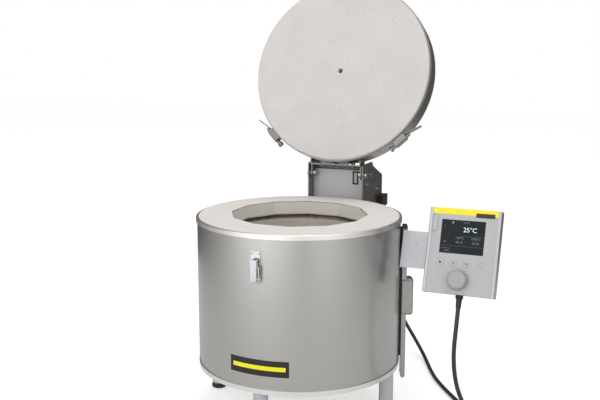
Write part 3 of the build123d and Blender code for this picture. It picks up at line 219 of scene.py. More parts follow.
def start_material(name, colour, roughness, metallic=0.0, ior=1.45):
    """A material with a plain shader, to which its pattern is added."""
    material = bpy.data.materials.new(name)
    material.use_nodes = True
    tree = material.node_tree
    shader = tree.nodes["Principled BSDF"]
    shader.inputs["Base Color"].default_value = (*colour, 1.0)
    shader.inputs["Roughness"].default_value = roughness
    shader.inputs["Metallic"].default_value = metallic
    if not metallic:
        shader.inputs["IOR"].default_value = ior
    return material, tree, shader


def noise(tree, size_mm, detail=2.0, vector=None):
    """A noise pattern whose lumps are about size_mm across."""
    if vector is None:
        vector = add(tree, "ShaderNodeTexCoord").outputs["Object"]
    values = {"Scale": 1000.0 / size_mm, "Detail": detail, "Roughness": 0.55}
    return add(tree, "ShaderNodeTexNoise", values, {"Vector": vector}).outputs["Fac"]


def spread(tree, pattern, low, high):
    """The middle of a pattern's range, stretched to go from low to high."""
    values = {"From Min": 0.3, "From Max": 0.7, "To Min": low, "To Max": high}
    return add(tree, "ShaderNodeMapRange", values, {"Value": pattern}).outputs["Result"]


def shade(tree, shader, pattern, colour, low, high):
    """The colour goes from low to high times itself along a pattern."""
    base = shader.inputs["Base Color"]
    before = base.links[0].from_socket if base.links else None
    share = spread(tree, pattern, low, high)
    mix = add(tree, "ShaderNodeVectorMath", {0: colour}, {1: share}, operation="MULTIPLY")
    if before:
        tree.links.new(before, mix.inputs[0])
    tree.links.new(mix.outputs["Vector"], base)


def vary_roughness(tree, shader, pattern, low, high):
    """The roughness goes from low to high along a pattern."""
    tree.links.new(spread(tree, pattern, low, high), shader.inputs["Roughness"])


def relief(tree, shader, pattern, depth_mm, strength=1.0):
    """The surface rises by depth_mm where the pattern is high."""
    before = shader.inputs["Normal"].links[0].from_socket if shader.inputs["Normal"].links else None
    bump = add(tree, "ShaderNodeBump", {"Strength": strength, "Distance": depth_mm * MM}, {"Height": pattern})
    if before:
        tree.links.new(before, bump.inputs["Normal"])
    tree.links.new(bump.outputs["Normal"], shader.inputs["Normal"])


def stretched(tree, along_mm, across_mm, axis):
    """Coordinates for lines that run along an axis, along_mm long and across_mm thick."""
    scale = [1.0 / across_mm] * 3
    scale["XYZ".index(axis)] = 1.0 / along_mm
    place = add(tree, "ShaderNodeTexCoord").outputs["Object"]
    return add(tree, "ShaderNodeMapping", {"Scale": scale}, {"Vector": place}).outputs["Vector"]


def round_the_axis(tree, along_mm, across_mm, radius_mm):
    """Coordinates for lines that run round the kiln's axis; they meet at the back."""
    place = add(tree, "ShaderNodeTexCoord").outputs["Object"]
    parts = add(tree, "ShaderNodeSeparateXYZ", links={"Vector": place})
    back = add(tree, "ShaderNodeMath", {1: -1.0}, {0: parts.outputs["Y"]}, operation="MULTIPLY")
    angle = add(tree, "ShaderNodeMath", links={0: parts.outputs["X"], 1: back.outputs[0]}, operation="ARCTAN2")
    run = add(tree, "ShaderNodeMath", {1: radius_mm * MM / along_mm}, {0: angle.outputs[0]}, operation="MULTIPLY")
    rise = add(tree, "ShaderNodeMath", {1: 1.0 / across_mm}, {0: parts.outputs["Z"]}, operation="MULTIPLY")
    return add(tree, "ShaderNodeCombineXYZ", links={"X": run.outputs[0], "Y": rise.outputs[0]}).outputs["Vector"]


# Materials
def stainless_jacket():
    """Ground stainless sheet, rolled round: fine lines along the wrap spread the lights upright."""
    colour = tuple(colours().stainless)
    material, tree, shader = start_material("stainless_sheet_ground", colour, 0.3, metallic=1.0)
    lines = noise(tree, 1.0, 3.0, round_the_axis(tree, 70.0, 1.3, JACKET_R))
    shade(tree, shader, lines, colour, 0.985, 1.015)
    vary_roughness(tree, shader, noise(tree, 160.0), 0.28, 0.32)
    relief(tree, shader, lines, 0.01, 0.15)
    return material


def lid_band_painted_shade():
    """The same sheet on the lid, rougher, with its lines straight across; its colour is darkened by a quarter as
    painted shade.
    """
    # painted shade: the lid's sheet takes three quarters of the jacket's colour
    colour = tuple(c * 0.75 for c in colours().stainless)
    material, tree, shader = start_material("stainless_sheet_lid_band_painted_shade", colour, 0.33, metallic=1.0)
    lines = noise(tree, 1.0, 3.0, stretched(tree, 40.0, 1.3, "X"))
    shade(tree, shader, lines, colour, 0.94, 1.02)
    vary_roughness(tree, shader, noise(tree, 90.0), 0.3, 0.38)
    relief(tree, shader, lines, 0.02, 0.3)
    return material


def spun_lip_painted_highlight():
    """Spun stainless lip with fine turning lines round the axis; its colour is brighter than the sheet's as a
    painted highlight.
    """
    # painted highlight: the sheet's colour brightened 1.75 times, standing in for the light band along the rounded
    # lip
    colour = tuple(min(1.0, c * 1.75) for c in colours().stainless)
    material, tree, shader = start_material("stainless_lip_spun_painted_highlight", colour, 0.33, metallic=1.0)
    lines = noise(tree, 1.0, 2.0, round_the_axis(tree, 120.0, 0.9, JACKET_R))
    shade(tree, shader, lines, colour, 0.98, 1.02)
    vary_roughness(tree, shader, noise(tree, 60.0), 0.3, 0.36)
    return material


def rolled_hinge_steel():
    """Cold rolled steel plate with its dull skin and faint rolling streaks."""
    colour = tuple(colours().hinge_steel)
    material, tree, shader = start_material("steel_plate_rolled", colour, 0.42, metallic=1.0)
    streaks = noise(tree, 1.0, 3.0, stretched(tree, 60.0, 2.5, "Z"))
    shade(tree, shader, streaks, colour, 0.9, 1.06)
    vary_roughness(tree, shader, noise(tree, 25.0, 4.0), 0.36, 0.48)
    relief(tree, shader, noise(tree, 1.6, 2.0), 0.02, 0.3)
    return material


def zinc_plate():
    """Bright zinc plated steel, pressed and bent: small waves break its reflections."""
    colour = tuple(colours().zinc)
    material, tree, shader = start_material("zinc_plate_bright", colour, 0.22, metallic=1.0)
    shade(tree, shader, noise(tree, 9.0), colour, 0.9, 1.05)
    vary_roughness(tree, shader, noise(tree, 14.0, 3.0), 0.17, 0.3)
    relief(tree, shader, noise(tree, 5.0), 0.05, 0.35)
    return material


def satin_handle():
    """Bent steel bar with a satin polish along its length."""
    colour = tuple(c * 0.95 for c in colours().zinc)
    material, tree, shader = start_material("steel_bar_satin", colour, 0.28, metallic=1.0)
    shade(tree, shader, noise(tree, 3.0), colour, 0.95, 1.03)
    vary_roughness(tree, shader, noise(tree, 20.0), 0.24, 0.33)
    return material


def fibre_board(name, colour, cloud, pits):
    """Vacuum formed ceramic fibre: chalky, with soft clouds, fine grit and a few pits, whose colour is darkened as
    painted shade.
    """
    material, tree, shader = start_material(name, colour, 0.92, ior=1.5)
    shade(tree, shader, noise(tree, 70.0, 3.0), colour, 1.0 - cloud, 1.0 + cloud * 0.4)
    shade(tree, shader, noise(tree, 2.4, 4.0), colour, 0.975, 1.015)
    place = add(tree, "ShaderNodeTexCoord").outputs["Object"]
    pit_distance_mm = 17.0
    spacing = {"Scale": 1000.0 / pit_distance_mm, "Randomness": 1.0}
    cells = add(tree, "ShaderNodeTexVoronoi", spacing, {"Vector": place})
    # painted shade in the pits: the colour falls to 1 - pits at each pit's middle, and the same pattern presses
    # the pits in
    edges = {"From Min": 0.05, "From Max": 0.13, "To Min": 1.0 - pits, "To Max": 1.0}
    pit_shade_and_depth = add(tree, "ShaderNodeMapRange", edges, {"Value": cells.outputs["Distance"]})
    base = shader.inputs["Base Color"].links[0].from_socket
    dark = add(tree, "ShaderNodeVectorMath", links={0: base, 1: pit_shade_and_depth.outputs["Result"]}, operation="MULTIPLY")
    tree.links.new(dark.outputs["Vector"], shader.inputs["Base Color"])
    relief(tree, shader, noise(tree, 1.8, 4.0), 0.12, 0.5)
    relief(tree, shader, pit_shade_and_depth.outputs["Result"], 0.3, 0.6)
    return material


def sawn_firebrick():
    """Insulating firebrick, sawn: open pores and soft clouds in a warm cream."""
    colour = tuple(colours().brick)
    material, tree, shader = start_material("firebrick_sawn", colour, 0.95, ior=1.5)
    shade(tree, shader, noise(tree, 45.0, 3.0), colour, 0.9, 1.03)
    shade(tree, shader, noise(tree, 2.0, 5.0), colour, 0.93, 1.04)
    relief(tree, shader, noise(tree, 1.5, 4.0), 0.35, 0.8)
    return material


def insulation_board():
    """Pressed calcium silicate board, off-white and even."""
    colour = linear("dcd8cf")
    material, tree, shader = start_material("silicate_board_pressed", colour, 0.95, ior=1.5)
    shade(tree, shader, noise(tree, 6.0, 4.0), colour, 0.95, 1.02)
    relief(tree, shader, noise(tree, 3.0, 3.0), 0.2, 0.5)
    return material


def fired_wire():
    """Iron-chrome-aluminium resistance wire after firing: a dark grey-brown oxide skin."""
    colour = linear("4b433b")
    material, tree, shader = start_material("resistance_wire_oxidised", colour, 0.55, metallic=0.7)
    shade(tree, shader, noise(tree, 4.0, 3.0), colour, 0.7, 1.3)
    vary_roughness(tree, shader, noise(tree, 2.0), 0.45, 0.65)
    return material


def fired_ceramic():
    """Dense fired ceramic of bushes and probe sheath, cream and slightly glossy."""
    colour = linear("e3dccd")
    material, tree, shader = start_material("ceramic_fired", colour, 0.45, ior=1.6)
    shade(tree, shader, noise(tree, 5.0, 3.0), colour, 0.93, 1.03)
    relief(tree, shader, noise(tree, 1.2, 2.0), 0.03, 0.4)
    return material


def powder_coat(name, colour):
    """Powder coated sheet: an even colour under a fine orange peel."""
    material, tree, shader = start_material(name, colour, 0.42, ior=1.5)
    shade(tree, shader, noise(tree, 120.0), colour, 0.97, 1.01)
    vary_roughness(tree, shader, noise(tree, 30.0), 0.38, 0.47)
    relief(tree, shader, noise(tree, 1.1, 1.0), 0.03, 0.25)
    return material


def moulded_plastic(name, colour, roughness):
    """Injection moulded plastic with a spark eroded grain."""
    material, tree, shader = start_material(name, colour, roughness, ior=1.53)
    shade(tree, shader, noise(tree, 40.0), colour, 0.97, 1.02)
    vary_roughness(tree, shader, noise(tree, 12.0), roughness - 0.05, roughness + 0.05)
    relief(tree, shader, noise(tree, 0.8, 2.0), 0.03, 0.35)
    return material


def anodised_extrusion(name, colour, axis):
    """Anodised aluminium extrusion: satin, with faint die lines along its length."""
    material, tree, shader = start_material(name, colour, 0.36, metallic=1.0)
    lines = noise(tree, 1.0, 2.0, stretched(tree, 90.0, 0.8, axis))
    shade(tree, shader, lines, colour, 0.96, 1.03)
    vary_roughness(tree, shader, noise(tree, 30.0), 0.33, 0.42)
    relief(tree, shader, lines, 0.02, 0.3)
    return material


def moulded_rubber(name, colour, roughness=0.6):
    """Moulded black rubber with a dull bloom."""
    material, tree, shader = start_material(name, colour, roughness, ior=1.52)
    shade(tree, shader, noise(tree, 15.0, 3.0), colour, 0.8, 1.25)
    vary_roughness(tree, shader, noise(tree, 6.0), roughness - 0.08, roughness + 0.08)
    relief(tree, shader, noise(tree, 0.9, 2.0), 0.03, 0.3)
    return material


def display_glass():
    """Cover glass over an unlit part of the display: near black and smooth."""
    colour = linear("0b0e11")
    material, tree, shader = start_material("display_cover_glass", colour, 0.2, ior=1.5)
    shade(tree, shader, noise(tree, 60.0), colour, 0.9, 1.15)
    shader.inputs["Specular IOR Level"].default_value = 0.25
    vary_roughness(tree, shader, noise(tree, 18.0), 0.18, 0.24)
    return material


def lit_segments(name, colour, strength):
    """Lit display characters: an even glow over a base colour that varies a little."""
    material, tree, shader = start_material(name, colour, 0.5)
    shade(tree, shader, noise(tree, 3.0), colour, 0.9, 1.05)
    shader.inputs["Emission Color"].default_value = (*colour, 1.0)
    shader.inputs["Emission Strength"].default_value = strength
    return material


def printed_ink(name, colour, roughness=0.5):
    """Screen printed ink, matt and slightly uneven."""
    material, tree, shader = start_material(name, colour, roughness, ior=1.5)
    shade(tree, shader, noise(tree, 8.0, 3.0), colour, 0.93, 1.04)
    relief(tree, shader, noise(tree, 0.9), 0.01, 0.2)
    return material


# Mesh helpers
def place_piece(piece, material, body):
    """Puts a new piece in the scene with its material, and lets it ride on a CAD body."""
    bpy.context.collection.objects.link(piece)
    if material:
        piece.data.materials.append(material)
    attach(piece, body)
    return piece


def stage_piece(name, bm, material):
    """A piece of the studio from a bmesh given in millimetres; it is no part of the kiln."""
    mesh = bpy.data.meshes.new(name)
    bm.to_mesh(mesh)
    bm.free()
    mesh.transform(Matrix.Scale(MM, 4))
    mesh.materials.append(material)
    piece = bpy.data.objects.new(name, mesh)
    bpy.context.collection.objects.link(piece)
    return piece


def mesh_piece(name, bm, material, body, place=None):
    """A new piece from a bmesh given in millimetres."""
    bmesh.ops.recalc_face_normals(bm, faces=bm.faces)
    mesh = bpy.data.meshes.new(name)
    bm.to_mesh(mesh)
    bm.free()
    mesh.transform(Matrix.Scale(MM, 4))
    if place is not None:
        mesh.transform(place)
    mesh.shade_smooth()
    mesh.set_sharp_from_angle(angle=math.radians(30.0))
    return place_piece(bpy.data.objects.new(name, mesh), material, body)


def slab(bm, outline, low, high):
    """Adds a flat slab with an outline of (x, y) points between two heights."""
    bottom = [bm.verts.new((x, y, low)) for x, y in outline]
    top = [bm.verts.new((x, y, high)) for x, y in outline]
    bm.faces.new(bottom)
    bm.faces.new(top)
    for i in range(len(outline)):
        j = (i + 1) % len(outline)
        bm.faces.new((bottom[i], bottom[j], top[j], top[i]))


def lathe(bm, profile, steps=48, centre=(0.0, 0.0)):
    """Adds a closed solid of revolution from (radius, height) points, about a line along Z."""
    rings = []
    for radius, height in profile:
        ring = []
        for i in range(steps):
            angle = 2 * math.pi * i / steps
            x = centre[0] + radius * math.cos(angle)
            y = centre[1] + radius * math.sin(angle)
            ring.append(bm.verts.new((x, y, height)))
        rings.append(ring)
    for lower, upper in zip(rings, rings[1:] + rings[:1]):
        for i in range(steps):
            j = (i + 1) % steps
            bm.faces.new((lower[i], lower[j], upper[j], upper[i]))


def rectangle(x0, x1, y0, y1):
    """Outline of a rectangle."""
    return [(x0, y0), (x1, y0), (x1, y1), (x0, y1)]


def rounded_rectangle(x0, x1, y0, y1, radius, steps=5):
    """Outline of a rectangle with round corners."""
    points = []
    corners = ((x1 - radius, y1 - radius, 0), (x0 + radius, y1 - radius, 90),
               (x0 + radius, y0 + radius, 180), (x1 - radius, y0 + radius, 270))
    for cx, cy, start in corners:
        for i in range(steps + 1):
            angle = math.radians(start + 90.0 * i / steps)
            points.append((cx + radius * math.cos(angle), cy + radius * math.sin(angle)))
    return points


def finish_nodes(material, *names):
    """Gives CAD nodes a material."""
    for name in names:
        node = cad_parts[name]
        if not node.material_slots:
            node.data.materials.append(material)
        for slot in node.material_slots:
            slot.material = material


def text_piece(name, words, size, x, y, height, material, body, place):
    """Flat characters on a face, with their middle at (x, y) and their height above it."""
    curve = bpy.data.curves.new(name, "FONT")
    curve.body = words
    curve.size = size * MM
    curve.align_x = "CENTER"
    curve.align_y = "CENTER"
    curve.extrude = 0.04 * MM
    piece = bpy.data.objects.new(name, curve)
    piece.matrix_world = place @ Matrix.Translation(Vector((x, y, height)) * MM)
    return place_piece(piece, material, body)


def closed_wires(name, loops, radius, material, body):
    """Thin wire through closed lists of points in millimetres."""
    curve = bpy.data.curves.new(name, "CURVE")
    curve.dimensions = "3D"
    curve.bevel_depth = radius * MM
    for points in loops:
        spline = curve.splines.new("POLY")
        spline.points.add(len(points) - 1)
        for knot, point in zip(spline.points, points):
            knot.co = (*(point * MM), 1.0)
        spline.use_cyclic_u = True
    return place_piece(bpy.data.objects.new(name, curve), material, body)


class KilnOperator:
    """What the kiln's operators share"""
    bl_options = {"REGISTER", "UNDO"}


class KILN_OT_stage(KilnOperator, bpy.types.Operator):
    """Set up the photograph's camera, the floor, the softboxes and the sky"""
    bl_idname = "kiln.stage"
    bl_label = "Studio"

    def execute(self, context):
        scene = context.scene
        scene.view_settings.view_transform = "Standard"
        self.camera(scene)
        self.floor()
        self.sky(scene)
        self.softboxes()
        self.grey_cards()
        return {"FINISHED"}

    def camera(self, scene):
        lens = bpy.data.cameras.new("photo_camera")
        lens.lens = CAMERA_LENS
        lens.sensor_width = SENSOR_WIDTH
        lens.clip_end = CLIP_END
        camera = bpy.data.objects.new("photo_camera", lens)
        camera.location = Vector(CAMERA_PLACE) * MM
        camera.rotation_euler = Vector(CAMERA_AIM).to_track_quat("-Z", "Y").to_euler()
        scene.collection.objects.link(camera)
        scene.camera = camera

    def floor(self):
        """A wide pale floor; the camera sees it a little brighter, so that only the shadow stays grey."""
        bm = bmesh.new()
        slab(bm, rectangle(-FLOOR_REACH, FLOOR_REACH, -FLOOR_REACH, FLOOR_REACH), *FLOOR_HEIGHTS)
        material, tree, shader = start_material("studio_floor_white", (0.82, 0.82, 0.82), 0.9)
        seen = add(tree, "ShaderNodeLightPath").outputs["Is Camera Ray"]
        lift = add(tree, "ShaderNodeMath", {1: FLOOR_LIFT}, {0: seen}, operation="MULTIPLY")
        white = {"Color": (1.0, 1.0, 1.0, 1.0)}
        glow = add(tree, "ShaderNodeEmission", white, {"Strength": lift.outputs[0]})
        both = add(tree, "ShaderNodeAddShader", links={0: shader.outputs[0], 1: glow.outputs[0]})
        tree.links.new(both.outputs[0], tree.nodes["Material Output"].inputs["Surface"])
        stage_piece("studio_floor", bm, material)

    def sky(self, scene):
        """White for the camera and in reflections, and softer as a light."""
        world = bpy.data.worlds.new("studio_sky")
        world.use_nodes = True
        tree = world.node_tree
        background = tree.nodes["Background"]
        path = add(tree, "ShaderNodeLightPath").outputs
        seen = path["Is Camera Ray"]
        for ray in ("Is Glossy Ray", "Is Transmission Ray"):
            seen = add(tree, "ShaderNodeMath", links={0: seen, 1: path[ray]}, operation="MAXIMUM").outputs[0]
        levels = {"To Min": sizes().sky_light, "To Max": 1.0}
        level = add(tree, "ShaderNodeMapRange", levels, {"Value": seen})
        background.inputs["Color"].default_value = (1.0, 1.0, 1.0, 1.0)
        tree.links.new(level.outputs["Result"], background.inputs["Strength"])
        scene.world = world

    def softbox(self, name, azimuth, distance, height, width, tall, brightness):
        """A square softbox that looks as bright as given and faces the kiln."""
        lamp = bpy.data.lights.new(name, "AREA")
        lamp.shape = "RECTANGLE"
        lamp.size = width * MM
        lamp.size_y = tall * MM
        lamp.energy = brightness * math.pi * lamp.size * lamp.size_y
        angle = math.radians(azimuth)
        spot = Vector((distance * math.cos(angle), distance * math.sin(angle), height)) * MM
        box = bpy.data.objects.new(name, lamp)
        box.location = spot
        box.rotation_euler = (Vector((0, 0, SOFTBOX_AIM * MM)) - spot).to_track_quat("-Z", "Y").to_euler()
        bpy.context.collection.objects.link(box)

    def softboxes(self):
        for *place, share in SOFTBOXES:
            self.softbox(*place, sizes().softbox_light * share)

    def card_material(self):
        """Light that changes with the azimuth, from the table of levels."""
        material = bpy.data.materials.new("grey_card")
        material.use_nodes = True
        tree = material.node_tree
        tree.nodes.remove(tree.nodes["Principled BSDF"])
        place = add(tree, "ShaderNodeTexCoord").outputs["Object"]
        parts = add(tree, "ShaderNodeSeparateXYZ", links={"Vector": place}).outputs
        angle = add(tree, "ShaderNodeMath", links={0: parts["Y"], 1: parts["X"]}, operation="ARCTAN2")
        full_turn = {"From Min": -math.pi, "From Max": math.pi}
        turn = add(tree, "ShaderNodeMapRange", full_turn, {"Value": angle.outputs[0]})
        ramp = add(tree, "ShaderNodeValToRGB", links={"Fac": turn.outputs["Result"]})
        stops = ramp.color_ramp.elements
        stops.remove(stops[-1])
        stops[0].position = 0.0
        stops[0].color = (CARD_LEVELS[-1][1], CARD_LEVELS[-1][1], CARD_LEVELS[-1][1], 1.0)
        for azimuth, level in CARD_LEVELS:
            stop = stops.new((azimuth + 180.0) / 360.0)
            stop.color = (level, level, level * 0.99, 1.0)
        glow = add(tree, "ShaderNodeEmission", {"Strength": CARD_STRENGTH}, {"Color": ramp.outputs["Color"]})
        tree.links.new(glow.outputs[0], tree.nodes["Material Output"].inputs["Surface"])
        return material

    def grey_cards(self):
        """A ring of grey cards, seen only in reflections, gives the rolled sheet its tall bands."""
        bm = bmesh.new()
        before = None
        for i in range(CARD_STEPS + 1):
            angle = math.radians(360.0 * i / CARD_STEPS)
            x = CARD_RADIUS * math.cos(angle)
            y = CARD_RADIUS * math.sin(angle)
            pair = [bm.verts.new((x, y, z)) for z in (0.0, CARD_TOP)]
            if before:
                bm.faces.new((before[0], pair[0], pair[1], before[1]))
            before = pair
        cards = stage_piece("grey_cards", bm, self.card_material())
        cards.visible_camera = False
        cards.visible_diffuse = False
        cards.visible_shadow = False


class KILN_OT_body(KilnOperator, bpy.types.Operator):
    """Finish the jacket, its lip and pan, the legs and the front label place"""
    bl_idname = "kiln.body"
    bl_label = "Body"

    def execute(self, context):
        finish_nodes(stainless_jacket(), "jacket")
        finish_nodes(spun_lip_painted_highlight(), "lip_trim", "base_pan")
        finish_nodes(powder_coat("steel_tube_powder_coated", tuple(colours().leg_paint)), "legs")
        finish_nodes(moulded_rubber("rubber_feet", linear("1d1d1e")), "foot_pads")
        self.label_place()
        return {"FINISHED"}

    def label_place(self):
        """A bare two-colour plate that follows the jacket, where the photograph has a label."""
        black = printed_ink("vinyl_label_black", linear("16150f"), 0.35)
        yellow = printed_ink("vinyl_label_yellow", tuple(colours().band), 0.4)
        self.wrap("label_plate", black, LABEL_PLATE, JACKET_R + 0.05, 0.35)
        self.wrap("label_field", yellow, LABEL_FIELD, JACKET_R + 0.4, 0.2)

    def wrap(self, name, material, span, radius, thick):
        """A thin sheet bent round the kiln's axis, between two azimuths and two heights."""
        start, end, low, high = span
        bm = bmesh.new()
        columns = []
        for i in range(LABEL_STEPS + 1):
            angle = math.radians(start + (end - start) * i / LABEL_STEPS)
            column = []
            for r, z in ((radius, low), (radius + thick, low), (radius + thick, high), (radius, high)):
                column.append(bm.verts.new((r * math.cos(angle), r * math.sin(angle), z)))
            columns.append(column)
        for before, after in zip(columns, columns[1:]):
            for i in range(4):
                j = (i + 1) % 4
                bm.faces.new((before[i], after[i], after[j], before[j]))
        bm.faces.new(columns[0])
        bm.faces.new(columns[-1])
        mesh_piece(name, bm, material, "kiln")


class KILN_OT_lining(KilnOperator, bpy.types.Operator):
    """Finish the bricks and boards, and wind the elements into their grooves"""
    bl_idname = "kiln.lining"
    bl_label = "Lining and elements"

    def execute(self, context):
        lid = fibre_board("ceramic_fibre_lid", tuple(colours().lid_board), 0.05, 0.3)
        collar = fibre_board("ceramic_fibre_collar", tuple(c * 1.04 for c in colours().lid_board), 0.03, 0.12)
        finish_nodes(lid, "lid_brick")
        finish_nodes(collar, "collar_brick")
        finish_nodes(sawn_firebrick(), "wall_bricks", "floor_brick")
        finish_nodes(insulation_board(), "wall_insulation", "floor_insulation")
        finish_nodes(fired_ceramic(), "terminal_bushes", "thermocouple")
        wire = fired_wire()
        finish_nodes(wire, "element_terminals")
        self.coils(wire)
        return {"FINISHED"}

    def coils(self, wire):
        """A wound coil runs round each groove, side by side with the wall's facets."""
        loops = [self.winding(z) for z in GROOVE_HEIGHTS]
        coils = closed_wires("element_coils", loops, sizes().wire_radius / MM, wire, "kiln")
        coils.data.bevel_resolution = 0
        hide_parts("heating_element")

    def winding(self, z):
        """The points of one groove's coil, facet by facet."""
        step = 2 * math.pi / FACETS
        side = 2 * ELEMENT_INRADIUS * math.tan(step / 2)
        turns = round(side * MM / sizes().coil_pitch)
        radius = sizes().coil_radius / MM
        per_turn = 9
        points = []
        for facet in range(FACETS):
            out = Vector((math.cos(facet * step), math.sin(facet * step), 0.0))
            along = Vector((-out.y, out.x, 0.0))
            for i in range(turns * per_turn):
                share = i / (turns * per_turn)
                angle = 2 * math.pi * i / per_turn
                spot = out * ELEMENT_INRADIUS + along * side * (share - 0.5)
                points.append(spot + out * radius * math.cos(angle) + Vector((0, 0, z + radius * math.sin(angle))))
        return points


class KILN_OT_lid_fittings(KilnOperator, bpy.types.Operator):
    """Finish the lid's band, cover, strap, clamps, handle and keeper, and add the vent's eyelet"""
    bl_idname = "kiln.lid_fittings"
    bl_label = "Lid fittings"

    def execute(self, context):
        finish_nodes(lid_band_painted_shade(), "lid_band", "lid_cover", "lid_strap")
        finish_nodes(zinc_plate(), "lid_keeper")
        finish_nodes(rolled_hinge_steel(), "strap_clamps")
        finish_nodes(satin_handle(), "lid_handle")
        self.vent_collar()
        return {"FINISHED"}

    def vent_collar(self):
        """A rolled eyelet round the vent in the lid's cover."""
        bm = bmesh.new()
        lathe(bm, [(radius, COVER_TOP + rise) for radius, rise in EYELET_PROFILE])
        mesh_piece("vent_eyelet", bm, bpy.data.materials["zinc_plate_bright"], "lid", LID_PLACE)


class KILN_OT_latch(KilnOperator, bpy.types.Operator):
    """Finish the draw latch and add its rivets"""
    bl_idname = "kiln.latch"
    bl_label = "Latch"

    def execute(self, context):
        zinc = bpy.data.materials["zinc_plate_bright"]
        finish_nodes(zinc, "latch_base", "latch_lever", "latch_bail")
        bm = bmesh.new()
        for spot in RIVET_SPOTS:
            lathe(bm, RIVET_PROFILE, 16, spot)
        mesh_piece("latch_rivets", bm, zinc, "kiln", UPRIGHT)
        return {"FINISHED"}


class KILN_OT_hinge_housing(KilnOperator, bpy.types.Operator):
    """Finish the hinge plates and the switch housing"""
    bl_idname = "kiln.hinge_housing"
    bl_label = "Hinge and housing"

    def execute(self, context):
        steel = bpy.data.materials["steel_plate_rolled"]
        finish_nodes(steel, "hinge_plates", "lid_bracket", "lid_stop")
        finish_nodes(bpy.data.materials["zinc_plate_bright"], "hinge_pins", "plate_bolts", "rail_screws")
        paint = powder_coat("steel_sheet_powder_coated", tuple(colours().housing_paint))
        finish_nodes(paint, "switch_housing", "housing_front_panel", "housing_top_cover", "housing_back_cover")
        black = moulded_plastic("polyamide_black_moulded", linear("1a1a1c"), 0.5)
        finish_nodes(black, "mains_gland", "cable_connector", "connector_gland", "controller_gland")
        finish_nodes(black, "rail_strip", "terminal_block", "solid_state_relay", "dial_encoder")
        self.small_label()
        return {"FINISHED"}

    def small_label(self):
        """A bare framed label in its recess on the front panel."""
        face = -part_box("housing_front_panel")[0][1] / MM
        x0, x1, z0, z1 = SMALL_LABEL
        frame_ink = printed_ink("label_ink_black", linear("1b1b1c"))
        bm = bmesh.new()
        slab(bm, rounded_rectangle(x0, x1, z0, z1, 1.0), face - 0.65, face - 0.1)
        mesh_piece("small_label_frame", bm, frame_ink, "kiln", UPRIGHT)
        rim = SMALL_LABEL_RIM
        foil = printed_ink("label_foil_silver", linear("b9b8b8"))
        bm = bmesh.new()
        slab(bm, rounded_rectangle(x0 + rim, x1 - rim, z0 + rim, z1 - rim, 0.6), face - 0.12, face + 0.02)
        mesh_piece("small_label_field", bm, foil, "kiln", UPRIGHT)


class KILN_OT_holder(KilnOperator, bpy.types.Operator):
    """Finish the rail, its clamp and the holder plate"""
    bl_idname = "kiln.holder"
    bl_label = "Controller holder"

    def execute(self, context):
        rail = anodised_extrusion("aluminium_rail_anodised", linear("a7a4a1"), "Z")
        finish_nodes(rail, "controller_rail", "rail_clamp")
        paint = powder_coat("steel_holder_powder_coated", tuple(colours().holder_paint))
        finish_nodes(paint, "holder_plate", "holder_bracket")
        return {"FINISHED"}


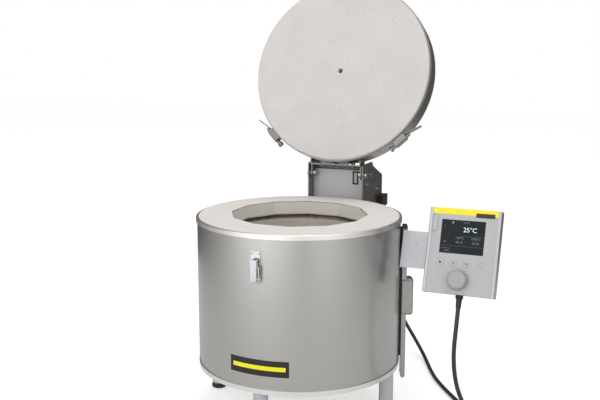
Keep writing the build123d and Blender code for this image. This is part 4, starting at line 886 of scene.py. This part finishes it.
class KILN_OT_controller(KilnOperator, bpy.types.Operator):
    """Finish the controller's case and face, and add its header band, keys and display"""
    bl_idname = "kiln.controller"
    bl_label = "Controller"

    def execute(self, context):
        grey = tuple(colours().case_plastic)
        finish_nodes(moulded_plastic("abs_case_moulded", tuple(c * 0.8 for c in grey), 0.5), "controller_case")
        finish_nodes(moulded_plastic("abs_face_moulded", grey, 0.48), "controller_fascia", "usb_flap")
        finish_nodes(anodised_extrusion("aluminium_side_rail", linear("b4b4b6"), "Z"), "controller_side_rails")
        finish_nodes(display_glass(), "screen_glass")
        finish_nodes(moulded_plastic("circuit_laminate", linear("2f5c3a"), 0.5), "circuit_board")
        finish_nodes(bpy.data.materials["steel_bar_satin"], "dial_spindle")
        finish_nodes(moulded_plastic("abs_dial_moulded", linear("9c9c9e"), 0.4), "dial_knob")
        self.header()
        self.display()
        self.keys()
        self.dial_cap()
        return {"FINISHED"}

    def header(self):
        """The coloured band along the top edge and the bare dark plate on it."""
        film = printed_ink("header_film_yellow", tuple(colours().band), 0.35)
        bm = bmesh.new()
        slab(bm, rectangle(*HEADER_BAND), 0.02, 0.35)
        mesh_piece("header_band", bm, film, "kiln", FACE_PLACE)
        dark = printed_ink("header_plate_dark", linear("2a2410"), 0.35)
        bm = bmesh.new()
        slab(bm, rounded_rectangle(*HEADER_PLATE, 0.6), 0.05, 0.6)
        mesh_piece("header_plate", bm, dark, "kiln", FACE_PLACE)

    def display(self):
        """Numbers on the display: the large reading and the small ones below it."""
        bright = lit_segments("display_segments_bright", linear("bfe3ee"), 0.6)
        dim = lit_segments("display_segments_dim", linear("62798c"), 0.35)
        top = SCREEN_TOP + 0.06
        text_piece("reading_large", "25°C", 13.5, 12.5, 44.5, top, bright, "kiln", FACE_PLACE)
        for name, words, size, x, y in READINGS:
            text_piece(name, words, size, x, y, top, dim, "kiln", FACE_PLACE)
        bm = bmesh.new()
        for rule in DISPLAY_RULES:
            slab(bm, rectangle(*rule), SCREEN_TOP + 0.02, top + 0.02)
        mesh_piece("display_rules", bm, dim, "kiln", FACE_PLACE)

    def keys(self):
        """Grey caps with a printed sign each: a triangle, bars, a bent arrow and a stroke with a dot."""
        finish_nodes(moulded_plastic("abs_key_moulded", linear("bdbdbf"), 0.45), *KEY_XS)
        ink = printed_ink("key_ink_grey", linear("2c2c2e"))
        signs = {
            "key_run": [RUN_TRIANGLE],
            "key_menu": [rectangle(*bar) for bar in MENU_BARS],
            "key_back": [BACK_BEND, BACK_POINT],
            "key_info": [rectangle(*stroke) for stroke in INFO_STROKES],
        }
        for key, shapes in signs.items():
            bm = bmesh.new()
            for shape in shapes:
                slab(bm, [(KEY_XS[key] + x, KEY_Y + y) for x, y in shape], KEY_TOP - 0.05, KEY_TOP + 0.08)
            mesh_piece(key + "_sign", bm, ink, key, FACE_PLACE)

    def dial_cap(self):
        """A thin disc with a bevelled rim on top of the dial."""
        cap = moulded_plastic("abs_dial_cap_moulded", linear("a8a8aa"), 0.42)
        bm = bmesh.new()
        lathe(bm, [(radius, DIAL_TOP + rise) for radius, rise in CAP_PROFILE], 72, DIAL)
        mesh_piece("dial_cap", bm, cap, "dial_knob", FACE_PLACE)


class KILN_OT_cable(KilnOperator, bpy.types.Operator):
    """Lay the controller's cable from the controller over the floor to the housing"""
    bl_idname = "kiln.cable"
    bl_label = "Controller cable"

    def execute(self, context):
        curve = bpy.data.curves.new("controller_lead", "CURVE")
        curve.dimensions = "3D"
        curve.bevel_depth = CABLE_RADIUS * MM
        curve.bevel_resolution = 5
        curve.resolution_u = 12
        curve.use_fill_caps = True
        spline = curve.splines.new("NURBS")
        spline.points.add(len(CABLE_ROUTE) - 1)
        for knot, point in zip(spline.points, CABLE_ROUTE):
            knot.co = (*(Vector(point) * MM), 1.0)
        spline.order_u = 3
        spline.use_endpoint_u = True
        jacket = moulded_rubber("pvc_cable_jacket", tuple(colours().cable), 0.42)
        lead = place_piece(bpy.data.objects.new("controller_lead", curve), jacket, "kiln")
        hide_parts("controller_cable")
        return {"FINISHED"}


class KILN_PT_panel(bpy.types.Panel):
    """Lists the kiln's groups of pieces"""
    bl_idname = "KILN_PT_panel"
    bl_label = "Plug-in kiln"
    bl_space_type = "VIEW_3D"
    bl_region_type = "UI"
    bl_category = "Kiln"

    def draw(self, context):
        for operator in OPERATORS:
            self.layout.operator(operator.bl_idname)
        for group in (colours(), sizes()):
            for name in group.bl_rna.properties.keys():
                if name not in {"rna_type", "name"}:
                    self.layout.prop(group, name)


OPERATORS = (
    KILN_OT_stage, KILN_OT_cable, KILN_OT_body, KILN_OT_lining, KILN_OT_lid_fittings,
    KILN_OT_latch, KILN_OT_hinge_housing, KILN_OT_holder, KILN_OT_controller,
)
CLASSES = (KilnColours, KilnSizes, *OPERATORS, KILN_PT_panel)


def register():
    for cls in CLASSES:
        bpy.utils.register_class(cls)
    bpy.types.Scene.kiln_colours = PointerProperty(type=KilnColours)
    bpy.types.Scene.kiln_sizes = PointerProperty(type=KilnSizes)


def unregister():
    del bpy.types.Scene.kiln_sizes
    del bpy.types.Scene.kiln_colours
    for cls in reversed(CLASSES):
        bpy.utils.unregister_class(cls)


def main():
    """Registers the add-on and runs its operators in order."""
    register()
    for operator in OPERATORS:
        group, name = operator.bl_idname.split(".")
        getattr(getattr(bpy.ops, group), name)()


if __name__ == "__main__":
    main()
